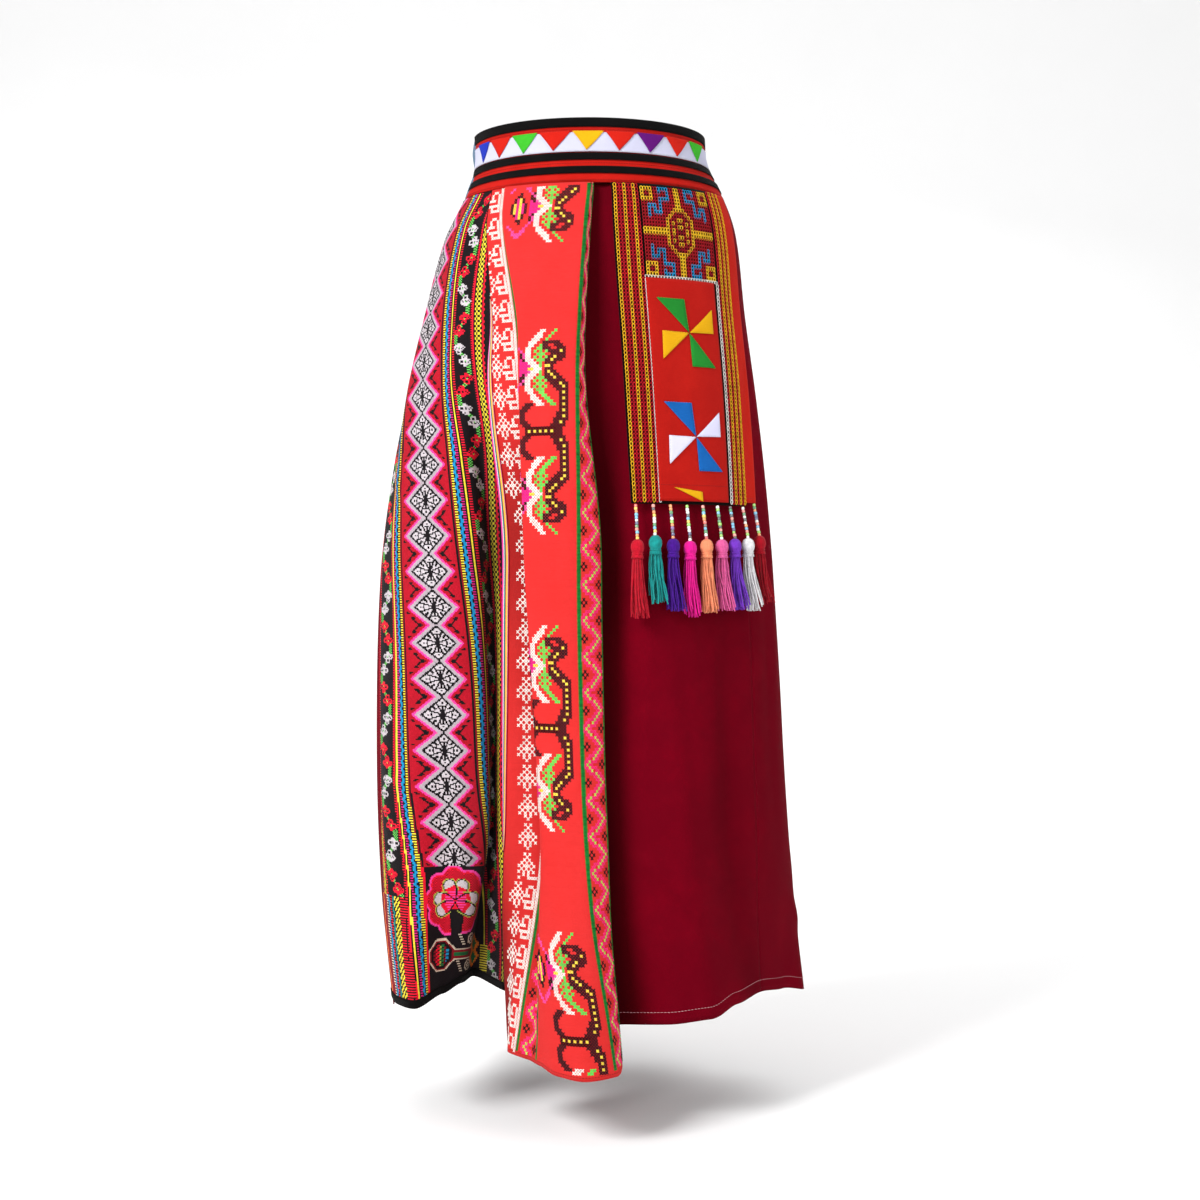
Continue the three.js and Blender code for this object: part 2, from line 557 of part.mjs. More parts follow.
function solidOf(geometry) {
  const bare = geometry.clone();
  bare.deleteAttribute('normal');
  if (bare.getAttribute('uv')) bare.deleteAttribute('uv');
  const merged = mergeVertices(bare, 1e-4);
  return new wasm.Manifold(new wasm.Mesh({
    numProp: 3,
    vertProperties: new Float32Array(merged.attributes.position.array),
    triVerts: new Uint32Array(merged.index.array),
  }));
}

function geometryOf(solid) {
  const mesh = solid.getMesh();
  const geometry = new THREE.BufferGeometry();
  geometry.setAttribute('position', new THREE.Float32BufferAttribute(mesh.vertProperties, 3));
  geometry.setIndex(Array.from(mesh.triVerts));
  return geometry;
}

// Strand: a three-sided yarn that leaves the head and hangs down, tapering to its tip
function strandGeometry(angle, radius, from, length, lean) {
  const points = [];
  const steps = [
    { v: 0, r: 0.35, thick: 1 }, { v: 0.3, r: 0.85, thick: 1 }, { v: 1, r: 1, thick: 0.8 },
  ];
  const rings = steps.map(({ v, r, thick }) => {
    const cx = Math.cos(angle) * radius * r + lean * v * v;
    const cy = Math.sin(angle) * radius * r;
    return [0, 1, 2].map((k) => {
      const b = angle + (k * 2 * Math.PI) / 3;
      return [cx + Math.cos(b) * STRAND_RADIUS * thick, cy + Math.sin(b) * STRAND_RADIUS * thick,
        from - length * v];
    });
  });
  for (const ring of rings) points.push(...ring.flat());
  const index = [0, 1, 2];
  for (let s = 0; s < rings.length - 1; s += 1) {
    for (let k = 0; k < 3; k += 1) {
      const a = s * 3 + k;
      const b = s * 3 + ((k + 1) % 3);
      index.push(a, a + 3, b + 3, a, b + 3, b);
    }
  }
  const e = (rings.length - 1) * 3;
  index.push(e, e + 2, e + 1);
  const geometry = new THREE.BufferGeometry();
  geometry.setAttribute('position', new THREE.Float32BufferAttribute(points, 3));
  geometry.setIndex(index);
  return geometry;
}

function headGeometry() {
  const profile = [
    [0, 0], [3.2, -0.6], [5.6, -3], [HEAD_RADIUS, -6.5], [5.6, -9.5], [4.4, -11.5], [5.2, -HEAD_HEIGHT],
    [0, -HEAD_HEIGHT - 1],
  ].map(([r, z]) => new THREE.Vector2(r, z)).reverse();
  return new THREE.LatheGeometry(profile, 10).rotateX(Math.PI / 2);
}

tassels.slice(0, TASSEL_COUNT).forEach((row, i) => {
  const edge = (row.a > STRIP_FROM ? FLAP_BOTTOM + STRIP_SHORTER : FLAP_BOTTOM) - 2 * SEAM_GAP;
  const top = lifted(flap, row.a, FLAP_BOTTOM, STRING_LIFT).setZ(edge);
  const head = lifted(flap, row.a, FLAP_BOTTOM, HEAD_LIFT).setZ(edge - row.string);
  const down = head.clone().sub(top);
  const string = new THREE.CylinderGeometry(STRING_RADIUS, STRING_RADIUS, down.length(), 6);
  string.applyQuaternion(new THREE.Quaternion().setFromUnitVectors(new THREE.Vector3(0, -1, 0),
    down.clone().normalize()));
  const middle = top.clone().add(head).multiplyScalar(0.5);
  string.translate(middle.x, middle.y, middle.z);
  add(`bead_string_${i + 1}`, string, 'white');
  let solid = solidOf(headGeometry());
  const outer = Math.round(STRANDS * 0.62);
  for (let k = 0; k < STRANDS; k += 1) {
    const inner = k >= outer;
    const count = inner ? STRANDS - outer : outer;
    const angle = ((k + (inner ? 0.5 : 0)) / count) * 2 * Math.PI;
    const length = row.length - HEAD_HEIGHT + 3 + 4 * Math.sin(2.3 * k + i);
    const strand = strandGeometry(angle, inner ? FRINGE_RADIUS * 0.48 : FRINGE_RADIUS, -HEAD_HEIGHT + 3, length,
      2 + 0.5 * i);
    solid = solid.add(solidOf(strand));
  }
  const geometry = geometryOf(solid);
  geometry.translate(head.x, head.y, head.z - 2 * SEAM_GAP);
  const mesh = new THREE.Mesh(geometry, new THREE.MeshStandardMaterial({
    color: row.colour, roughness: 0.95, metalness: 0,
  }));
  mesh.name = `tassel_${i + 1}`;
  skirt.add(mesh);
});

export default skirt;
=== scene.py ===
"""A long wrap skirt of patched and embroidered cloth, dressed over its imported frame."""

import math

import bmesh
import bpy
import numpy as np
from bpy.props import FloatProperty, FloatVectorProperty, IntProperty, PointerProperty
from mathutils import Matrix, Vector


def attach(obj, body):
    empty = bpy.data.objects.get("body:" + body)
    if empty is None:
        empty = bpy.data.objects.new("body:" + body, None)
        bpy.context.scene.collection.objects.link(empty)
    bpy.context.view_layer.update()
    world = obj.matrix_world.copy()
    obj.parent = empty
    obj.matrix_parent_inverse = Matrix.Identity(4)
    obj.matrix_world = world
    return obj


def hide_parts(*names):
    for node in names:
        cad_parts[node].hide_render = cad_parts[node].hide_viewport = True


bl_info = {
    "name": "Wrap Skirt",
    "version": (1, 0, 0),
    "blender": (4, 5, 0),
    "location": "View3D > Sidebar > Skirt",
    "description": "Builds a long wrap skirt with cross-stitched panels, a flap, beads and tassels",
    "category": "Object",
}

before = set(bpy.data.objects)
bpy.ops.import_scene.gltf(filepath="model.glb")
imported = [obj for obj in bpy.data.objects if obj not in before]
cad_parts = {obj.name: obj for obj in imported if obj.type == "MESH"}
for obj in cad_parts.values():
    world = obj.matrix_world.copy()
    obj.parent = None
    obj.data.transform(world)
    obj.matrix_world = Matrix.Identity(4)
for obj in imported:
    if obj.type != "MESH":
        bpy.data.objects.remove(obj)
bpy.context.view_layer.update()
MM = 0.001

# Girth of the skirt: height, half width, shift to the right, depth in front, depth behind (mm)
GIRTH = np.array([
    [34, 119.8, -0.8, 98, 98], [15, 119.8, 0.2, 99, 98], [0, 122.2, 1.8, 101, 99],
    [-17, 128.6, 4.1, 104, 101], [-33, 136.5, 4.5, 108, 104], [-71, 151.5, 1.5, 118, 119],
    [-155, 166.5, -4.5, 133, 146], [-239, 182, -9, 145, 163], [-324, 194, -12, 152, 176],
    [-420, 204, -14, 157, 185], [-576, 211, -11, 161, 192], [-745, 215, -3, 164, 197],
    [-861, 213, 11, 165, 200],
])
# Ribs round the skirt: angle from the front at each level, how far out of the girth, hem
RIB_LEVELS = np.array([-33, -200, -420, -660, -861])
RIBS = [
    ("seam_left", (-101, -95, -82, -72.5, -67.5), (0, 1, 1, 7, 22), -858),
    ("flower_column", (-92, -86, -73, -65, -61), (1, 0, 1, 12, 31), -861),
    ("left_lobe", (-86, -79, -66, -55.5, -54), (0, 2, 4, 10, 34), -861),
    ("diamond_column", (-80, -65, -53.5, -50, -59), (1, 1, -1, -16, -11), -853),
    ("shoulder", (-67, -51, -40, -40.5, -62), (0, 2, -21, -32, -36), -845),
    ("valley", (-61, -43, -42, -46.5, -64.5), (-1, -3, -46, -60, -55), -841),
    ("seam_front_left", (-55.5, -37.5, -34.5, -36, -44.5), (0, 0, -41, -44, -49), -850),
    ("white_border", (-47.5, -25, -16, -19, -34), (0, 6, -28, -35, -22), -897),
    ("recess", (-40, -17, -8.4, -5, -23.5), (-5, 5, -20, -31, -10), -899),
    ("main_fold", (-46, -22.5, -17.5, -15, -19.5), (4, 18, 2, -12, 8), -900),
    ("fold_face", (-33, -15, -9.5, -8, -12), (4, 22, 13, 2, 32), -903),
    ("flute_crest", (-16.5, -7.5, -3.5, -3, -5), (3.5, 24, 17, 9, 42), -905),
    ("green_line", (-2.5, -1.3, 1.3, 1.2, 2.5), (3.5, 23, 16, 10, 32), -903),
    ("front_edge", (-0.5, 0.7, 9, 8.7, 5.8), (1.5, 9.5, 5, -2, 8), -899),
    ("under_edge", (-3.5, -1, 8, 8, 5.2), (-1.5, -1.5, -8, -15, -13), -896),
    ("seam_front_right", (-5, -2.5, 6.3, 5.5, 5), (-5.5, -8, -18.5, -26, -28), -868),
    ("shadow_fold", (4, 10, 16, 15, 12), (-6.5, -8, -18, -22, -25), -867),
    ("maroon_rise", (16, 21, 25, 25, 24.5), (-1, 1, -3, -10, -13), -866),
    ("maroon_front", (31, 35, 37, 37, 39), (1, 2, 2, -1, -8), -863),
    ("maroon_dip", (46, 49, 50, 51, 53), (0, -2, -4, -12, -19), -854),
    ("seam_side", (60, 63, 65, 66, 68), (0.5, 1, -1, -9, -27), -849),
    ("side_fold", (74, 77, 79, 80, 79.5), (1, 2, 2, -2, -19), -852),
    ("right_side", (90, 91, 92, 92, 90), (0, 0, 1, 1, 1), -859),
    ("back_dip_1", (106, 107, 108, 108, 108), (1, -3, -9, -14, -18), -860),
    ("back_fold_1", (122, 123, 124, 125, 126), (1, 4, 7, 9, 11), -863),
    ("back_dip_2", (138, 139, 140, 142, 144), (0, -4, -10, -17, -23), -861),
    ("back_fold_2", (155, 156, 157, 159, 161), (1, 4, 8, 11, 15), -864),
    ("back_dip_3", (172, 173, 174, 176, 178), (0, -3, -9, -15, -21), -861),
    ("back_fold_3", (189, 190, 191, 193, 195), (1, 4, 8, 12, 16), -864),
    ("back_dip_4", (206, 207, 209, 212, 214), (0, -3, -8, -14, -19), -860),
    ("back_fold_4", (222, 224, 228, 232, 235), (1, 3, 6, 8, 8), -861),
    ("left_dip", (236, 240, 248, 254, 257), (0, -2, -4, -6, -10), -859),
    ("left_side", (248, 254, 266, 273, 276), (0, 0, 1, 0, -4), -859),
]
RIB = {name: i for i, (name, *_) in enumerate(RIBS)}
WAIST_LINE = -33.6
BAND_TOP, BAND_FOOT = 33.0, -33.0
# Angles from the front at which the two halves of the waistband begin and end
BAND_FRONT = (-82, 99)
BAND_BACK = (99, 278)
# The flap: its foot, where its ground and its side strip end, and its centre as shares of its width
FLAP_BOTTOM = -356
FLAP_GROUND_EDGE, SIDE_STRIP_EDGE, SIDE_STRIP_BOTTOM = 0.885, 0.886, -352.0
CENTRE_EDGES, CENTRE_TOP, CENTRE_BOTTOM = (0.205, 0.725), -131, -353.0
SQUARE_EDGES, SQUARE_TOP, SQUARE_DROP = (0.2, 0.727), -37.0, 92.0
# Patches: middle of the pinwheels as a share of the flap's width, height off the cloth, thickness
WHEEL_MIDDLE, LOW_PATCH_HEIGHT = 0.465, -344.0
PATCH_LIFT, BAND_PATCH_LIFT, PATCH_WALL = 2.45, 2.75, 0.5
SMALLEST_SIDE = 10.0
BEAD_COLOURS = {
    "orange_red": "#e8401a", "yellow": "#f4c81e", "orange": "#f2891c", "light_blue": "#58b8e0",
    "white": "#f2f0ea", "navy": "#1c2a6a", "green": "#1f8a3c", "salmon": "#f08a78", "black": "#141414",
    "lime": "#8ed02c", "purple": "#6a2a8c", "brown": "#6a3418", "red": "#c81a22",
}
# Beads of every string, from its top down
STRINGS = [
    "orange_red yellow orange light_blue light_blue white navy green salmon light_blue orange yellow",
    "salmon black orange yellow white white green light_blue yellow white",
    "orange orange green navy white lime orange purple black navy orange",
    "lime white white black light_blue yellow lime white white navy black white",
    "salmon green light_blue yellow orange orange_red brown light_blue green white red",
    "white lime light_blue green black green lime black salmon green lime white",
    "black green light_blue black salmon brown light_blue light_blue navy lime salmon black",
    "white salmon green white black white orange light_blue salmon lime white",
    "lime green orange light_blue navy navy white salmon light_blue white lime orange",
]
# Tassels from left to right: share of the flap's width, string length, drop of the yarns, colour
TASSELS = [
    (0.03, 35, 78, "#c8102a"), (0.155, 31, 68, "#1a9a96"), (0.28, 34, 72, "#4a1090"),
    (0.4, 36, 76, "#f01896"), (0.52, 34, 74, "#ff9a70"), (0.635, 34, 72, "#ea62a4"),
    (0.74, 33, 72, "#7a3ac8"), (0.855, 32, 74, "#f0eef0"), (0.97, 33, 70, "#b00a20"),
]


# Shapes


def smooth(x):
    """Soft step from 0 to 1."""
    x = np.clip(x, 0, 1)
    return x * x * (3 - 2 * x)


def table_curve(xs, ys):
    """Smooth monotone curve through a short table, straight beyond its ends."""
    xs, ys = np.asarray(xs, float), np.asarray(ys, float)
    d = np.diff(ys) / np.diff(xs)
    both, product = d[:-1] + d[1:], d[:-1] * d[1:]
    inner = np.where(product <= 0, 0, 2 * d[:-1] * d[1:] / np.where(both == 0, 1, both))
    m = np.concatenate([d[:1], inner, d[-1:]])

    def value(x):
        x = np.asarray(x, float)
        i = np.clip(np.searchsorted(xs, x, side="right") - 1, 0, len(xs) - 2)
        h = xs[i + 1] - xs[i]
        t = np.clip((x - xs[i]) / h, 0, 1)
        y = (
            (1 + 2 * t) * (1 - t) ** 2 * ys[i] + t * (1 - t) ** 2 * h * m[i]
            + t * t * (3 - 2 * t) * ys[i + 1] + t * t * (t - 1) * h * m[i + 1]
        )
        y = np.where(x < xs[0], ys[0] + m[0] * (x - xs[0]), y)
        return np.where(x > xs[-1], ys[-1] + m[-1] * (x - xs[-1]), y)

    return value


HALF, SHIFT, FRONT, BACK = (table_curve(-GIRTH[:, 0], GIRTH[:, k]) for k in range(1, 5))


def ring(angle, out, z):
    """Point of the girth at an angle from the front, moved out."""
    s, c = np.sin(np.radians(angle)), np.cos(np.radians(angle))
    d = -np.asarray(z, float)
    r = 1 / np.hypot(s / HALF(d), c / np.where(c > 0, FRONT(d), BACK(d))) + out
    return np.stack([SHIFT(d) + r * s, -r * c], axis=-1)


LEVEL_TOP, LEVEL_STEP, LEVEL_COUNT = 40.0, 2.0, 484
LEVELS = LEVEL_TOP - LEVEL_STEP * np.arange(LEVEL_COUNT)
RIB_TABLE = np.stack([
    ring(table_curve(-RIB_LEVELS, at)(-LEVELS), table_curve(-RIB_LEVELS, out)(-LEVELS), LEVELS)
    for _, at, out, _ in RIBS
])


def rib_point(i, z):
    """Point of a rib at a height, between the levels of the table."""
    row = np.clip((LEVEL_TOP - z) / LEVEL_STEP, 0, len(LEVELS) - 1.001)
    low = row.astype(int)
    part = (row - low)[..., None]
    i = i % len(RIBS)
    return RIB_TABLE[i, low] * (1 - part) + RIB_TABLE[i, low + 1] * part


def skirt_curve(t, z):
    """Level curve of the skirt through its ribs; t counts ribs."""
    t, z = np.broadcast_arrays(np.asarray(t, float), np.asarray(z, float))
    i = np.floor(t).astype(int)
    p = [rib_point(i + k, z) for k in (-1, 0, 1, 2)]
    g = [np.sqrt(np.linalg.norm(p[k + 1] - p[k], axis=-1))[..., None] for k in range(3)]
    u = (t - i)[..., None]
    v1 = (p[1] - p[0]) / g[0] - (p[2] - p[0]) / (g[0] + g[1]) + (p[2] - p[1]) / g[1]
    v2 = (p[2] - p[1]) / g[1] - (p[3] - p[1]) / (g[1] + g[2]) + (p[3] - p[2]) / g[2]
    a, b, d, e = p[1], v1 * g[1], v2 * g[1], p[2]
    return a + b * u + (3 * (e - a) - 2 * b - d) * u**2 + (2 * (a - e) + b + d) * u**3


def band_curve(angle, z):
    """The plain front half of the waistband."""
    return ring(angle, 0, z)


def gathered_curve(angle, z):
    """The gathered elastic half of the waistband: two tubes with small pleats."""
    along = (angle - BAND_BACK[0]) / (BAND_BACK[1] - BAND_BACK[0])
    tube = np.abs(np.sin(2 * np.pi * (34 - z) / 67))
    fade = np.clip(np.minimum(12 * along, 12 * (1 - along)), 0, 1)
    pleat = np.cos(2 * np.pi * 20 * along) + 0.35 * np.sin(2 * np.pi * 47 * along + 3 * tube)
    return ring(angle, fade * (3.2 * tube + 2.0 * pleat * (0.5 + 0.5 * tube)), z)


FLAP_LEFT = table_curve([33, 200, 356], [8.5, 15, 19])
FLAP_RIGHT = table_curve([33, 200, 356], [74, 69.5, 67])
FLAP_OUT = table_curve([33, 90, 200, 356, 480], [3.4, 5, 7, 8, 8])


def flap_curve(a, z):
    """The hanging flap; a is the share of its width from the left."""
    left, right = FLAP_LEFT(-z), FLAP_RIGHT(-z)
    return ring(left + (right - left) * a, FLAP_OUT(-z), z)


def hem_of(t, changed=()):
    """Height of the hem between the ribs, with some ribs' hems changed for one cloth."""
    hems = [hem for *_, hem in RIBS] + [RIBS[0][3]]
    for name, z in changed:
        hems[RIB[name]] = z
    hems = np.array(hems, float)
    i = np.clip(np.floor(t).astype(int), 0, len(hems) - 2)
    return hems[i] + (hems[i + 1] - hems[i]) * smooth(t - i)


def level(height):
    """An edge at one height."""
    return lambda t: t * 0 + height


def above_hem(rise, changed=()):
    """An edge that follows the hem at a distance."""
    return lambda t: hem_of(t, changed) + rise


class Cloth:
    """A hanging cloth: its level curve, its edges, and soft creases.

    A crease is (u, z, u, z, depth, width): a line in flat millimetres, u from the left edge.
    Creases fade out over hold from the seams and over WAIST_FADE from the top.
    """

    ROW_STEP, WAIST_FADE, LOOK = 5.0, 30, 0.6

    def __init__(self, curve, first, last, top, bottom, samples, creases=(), hold=14.0):
        self.curve, self.first, self.last = curve, first, last
        self.top, self.bottom, self.hold = top, bottom, hold
        self.t = np.linspace(first, last, samples)
        lowest = float(np.min(bottom(self.t)))
        self.z = np.linspace(top, lowest, max(3, int((top - lowest) / self.ROW_STEP) + 1))
        p = curve(self.t[None, :], self.z[:, None])
        step_length = np.linalg.norm(np.diff(p, axis=1), axis=-1)
        self.arc = np.concatenate([np.zeros((len(self.z), 1)), np.cumsum(step_length, axis=1)], axis=1)
        self.creases = creases

    def rows(self, z):
        """Row of the arc table above a height, and how far on to the next one."""
        row = np.clip((self.top - z) / (self.top - self.z[-1]) * (len(self.z) - 1), 0, len(self.z) - 1.001)
        low = row.astype(int)
        return low, row - low

    def width(self, z):
        """Flat width at a height."""
        low, part = self.rows(np.asarray(z, float))
        return self.arc[low, -1] * (1 - part) + self.arc[low + 1, -1] * part

    def u_of(self, t, z):
        """Flat distance from the left edge."""
        low, part = self.rows(z)
        col = np.clip((t - self.first) / (self.last - self.first) * (len(self.t) - 1), 0, len(self.t) - 1.001)
        c = col.astype(int)
        side = col - c
        upper = self.arc[low, c] * (1 - side) + self.arc[low, c + 1] * side
        lower = self.arc[low + 1, c] * (1 - side) + self.arc[low + 1, c + 1] * side
        return upper * (1 - part) + lower * part

    def t_of(self, u, z):
        """Place on the level curve for a flat distance from the left edge."""
        u, z = (np.array(x, float) for x in np.broadcast_arrays(u, z))
        low, part = self.rows(z)
        t = np.empty(u.shape)
        for r in np.unique(low):
            at = low == r
            upper = np.interp(u[at], self.arc[r], self.t)
            lower = np.interp(u[at], self.arc[r + 1], self.t)
            t[at] = upper * (1 - part[at]) + lower * part[at]
        return t

    def crease(self, u, z):
        """Height of the creases, fading out at the seams and at the waist."""
        out = np.zeros(np.broadcast(u, z).shape)
        for u0, z0, u1, z1, depth, width in self.creases:
            du, dz = u1 - u0, z1 - z0
            along = ((u - u0) * du + (z - z0) * dz) / (du * du + dz * dz)
            on = np.clip(along, 0, 1)
            sway = 0.25 * width * np.sin(on * 5 + u0)
            off = ((u - u0) * dz - (z - z0) * du) / math.hypot(du, dz) - sway
            past = (along - on) * math.hypot(du, dz)
            swell = np.sin(np.pi * np.clip(0.12 + 0.76 * on, 0, 1))
            out = out + depth * np.exp(-((off / width) ** 2) - (past / (1.6 * width)) ** 2) * swell
        edge = smooth(u / self.hold) * smooth((self.width(z) - u) / self.hold)
        return out * edge * smooth((self.top - z) / self.WAIST_FADE)

    def point(self, t, z, lift=0.0):
        """Point of the creased cloth, lifted off it."""
        t, z = (np.array(x, float) for x in np.broadcast_arrays(t, z))
        step = 1e-3 * max(1.0, abs(self.last - self.first) / 20)
        p = self.curve(t, z)
        d = self.curve(t + step, z) - self.curve(t - step, z)
        d = d / np.maximum(np.linalg.norm(d, axis=-1, keepdims=True), 1e-12)
        out = lift + (self.crease(self.u_of(t, z), z) if len(self.creases) else 0)
        out = np.broadcast_to(out, t.shape)
        return np.stack([p[..., 0] + out * d[..., 1], p[..., 1] - out * d[..., 0], z], axis=-1)

    def at(self, u, z, lift=0.0):
        return self.point(self.t_of(u, z), z, lift)

    def frame_at(self, u, z, lift=0.0):
        """Points with their axes: to the right along the cloth, up it, and out of it."""
        p = self.at(u, z, lift)
        look = self.LOOK
        right = self.at(u + look, z, lift) - self.at(u - look, z, lift)
        right /= np.linalg.norm(right, axis=-1, keepdims=True)
        up = self.at(u, z + look, lift) - self.at(u, z - look, lift)
        out = np.cross(right, up)
        out /= np.linalg.norm(out, axis=-1, keepdims=True)
        return p, right, np.cross(out, right), out


CHANGED_HEMS = (("seam_front_left", -893), ("seam_front_right", -894))
LEFT = Cloth(
    skirt_curve, 0, 6, WAIST_LINE, above_hem(9), 241,
    creases=(
        (28, -60, 60, -330, 1.6, 12), (120, -90, 104, -420, -1.8, 13), (150, -240, 120, -520, 1.5, 10),
        (40, -420, 62, -760, -1.8, 14), (96, -560, 120, -840, 1.8, 12), (160, -600, 150, -830, -1.5, 9),
        (14, -300, 70, -350, 0.9, 8), (20, -620, 90, -660, 1.0, 9),
    ),
)
FRONT_CLOTH = Cloth(
    skirt_curve, 6, 15, WAIST_LINE, above_hem(0, CHANGED_HEMS), 361,
    creases=(
        (110, -120, 122, -420, 1.1, 7), (138, -200, 130, -560, -1.2, 7), (100, -500, 124, -820, 1.2, 8),
        (150, -640, 140, -880, -1.1, 6), (22, -200, 20, -560, 1.3, 8), (30, -560, 24, -860, -1.3, 9),
    ),
)
RIGHT = Cloth(
    skirt_curve, 15, 20, WAIST_LINE, above_hem(0), 201,
    creases=(
        (60, -380, 52, -640, 2.4, 11), (94, -400, 104, -700, -3.0, 13), (130, -420, 138, -640, 2.2, 10),
        (40, -700, 96, -752, 2.6, 9), (66, -742, 128, -796, -2.6, 9), (110, -700, 168, -740, 1.8, 8),
        (34, -790, 84, -838, 1.7, 8), (150, -560, 156, -820, -2.2, 11), (74, -640, 80, -850, -2.0, 12),
        (30, -120, 36, -420, 1.6, 10), (166, -180, 160, -420, -1.6, 10),
    ),
)
BACK_RIGHT = Cloth(
    skirt_curve, 20, 27, WAIST_LINE, above_hem(0), 225,
    creases=(
        (40, -160, 52, -520, 2.2, 12), (96, -300, 88, -700, -2.8, 14), (150, -120, 160, -460, 2.4, 12),
        (210, -380, 224, -800, -3.0, 15), (280, -200, 268, -560, 2.4, 12), (120, -690, 196, -744, 2.4, 10),
        (60, -760, 118, -812, 2.0, 9), (240, -640, 300, -690, 2.0, 10), (30, -420, 36, -700, -2.0, 11),
    ),
)
BACK_LEFT = Cloth(
    skirt_curve, 27, 33, WAIST_LINE, above_hem(0), 193,
    creases=(
        (40, -420, 60, -820, 2.6, 14), (96, -160, 92, -520, -2.4, 13), (150, -400, 170, -790, 2.6, 14),
        (200, -240, 196, -640, -2.6, 13), (246, -520, 260, -840, 2.2, 12), (130, -650, 210, -700, 2.2, 10),
        (60, -716, 112, -768, -2.4, 10), (270, -200, 262, -560, 2.0, 11),
    ),
)
BAND = Cloth(band_curve, *BAND_FRONT, BAND_TOP, level(BAND_FOOT), 241, hold=4.0)
GATHERED = Cloth(gathered_curve, *BAND_BACK, BAND_TOP, level(BAND_FOOT), 721, hold=4.0)
FLAP = Cloth(
    flap_curve, 0.0, 1.0, WAIST_LINE, level(FLAP_BOTTOM), 121, hold=6.0,
    creases=(
        (30, -60, 36, -200, 0.8, 9), (60, -180, 50, -340, -0.9, 10), (120, -90, 128, -260, 0.8, 9),
        (150, -200, 144, -350, -0.9, 8),
    ),
)


# Meshes


def put_object(name, points, faces):
    """A mesh object at the origin, from points in millimetres."""
    mesh = bpy.data.meshes.new(name)
    mesh.from_pydata((np.asarray(points, float) * MM).tolist(), [], [tuple(map(int, f)) for f in faces])
    mesh.polygons.foreach_set("use_smooth", [True] * len(mesh.polygons))
    mesh.update()
    piece = bpy.data.objects.new(name, mesh)
    bpy.context.scene.collection.objects.link(piece)
    return piece


def grid_quads(rows, columns, start=0, flip=False):
    """Faces between the points of a grid."""
    r, c = np.meshgrid(np.arange(rows - 1), np.arange(columns - 1), indexing="ij")
    a = (start + r * columns + c).ravel()
    quads = np.stack([a, a + columns, a + columns + 1, a + 1], axis=1)
    return quads[:, ::-1] if flip else quads


def give_uv(piece, uv):
    """Flat place of every vertex in metres, kept as the piece's own UV map."""
    layer = piece.data.uv_layers.new(name="flat")
    index = np.empty(len(piece.data.loops), int)
    piece.data.loops.foreach_get("vertex_index", index)
    layer.data.foreach_set("uv", (np.asarray(uv, float) * MM)[index].astype(np.float32).ravel())


def shell(name, outer, inner, uv):
    """A thin closed cloth from two grids of points."""
    rows, columns = outer.shape[:2]
    n = rows * columns
    faces = [grid_quads(rows, columns), grid_quads(rows, columns, n, flip=True)]
    foot = (rows - 1) * columns
    left = range(0, foot, columns)
    right = range(columns - 1, foot, columns)
    rim = (
        [(c, c + 1, n + c + 1, n + c) for c in range(columns - 1)]
        + [(k, n + k, n + k + 1, k + 1) for k in range(foot, foot + columns - 1)]
        + [(k, n + k, n + k + columns, k + columns) for k in left]
        + [(k, k + columns, n + k + columns, n + k) for k in right]
    )
    points = np.concatenate([outer.reshape(-1, 3), inner.reshape(-1, 3)])
    piece = put_object(name, points, np.concatenate(faces).tolist() + rim)
    give_uv(piece, np.concatenate([uv.reshape(-1, 2)] * 2))
    return piece


def cloth_shell(name, cloth, columns, rows, wall, lift=0.0, first=None, last=None, top=None, bottom=None):
    """The cloth between two of its own lines and two heights, as a thin shell."""
    first = cloth.first if first is None else first
    last = cloth.last if last is None else last
    t = np.linspace(first, last, columns)[None, :]
    high = cloth.top if top is None else top
    low = cloth.bottom(t) if bottom is None else bottom
    z = high + (low - high) * np.linspace(0, 1, rows)[:, None]
    t, z = np.broadcast_arrays(t, z)
    uv = np.stack([cloth.u_of(t, z), z], axis=-1)
    piece = shell(name, cloth.point(t, z, lift + wall / 2), cloth.point(t, z, lift - wall / 2), uv)
    # The skirt's panels keep how deep each place lies in a fold, for the painted shade of their shaders
    if cloth.curve is skirt_curve:
        give_fold_shade(piece, np.concatenate([valley(t, z).ravel()] * 2))
    return piece


def valley(t, z):
    """How far a place of the skirt lies inside its neighbours, from 0 to 1: the shaders paint shade there."""
    own = np.linalg.norm(skirt_curve(t, z)[..., :2], axis=-1)
    near = [np.linalg.norm(skirt_curve(t + k, z)[..., :2], axis=-1) for k in (-2.4, -1.2, 1.2, 2.4)]
    return smooth((np.mean(near, axis=0) - own - 1.0) / 20.0)


def give_fold_shade(piece, values):
    """Keeps the valley of every vertex, which the shaders turn into painted shade."""
    layer = piece.data.attributes.new("valley", "FLOAT", "POINT")
    layer.data.foreach_set("value", values.astype(np.float32))


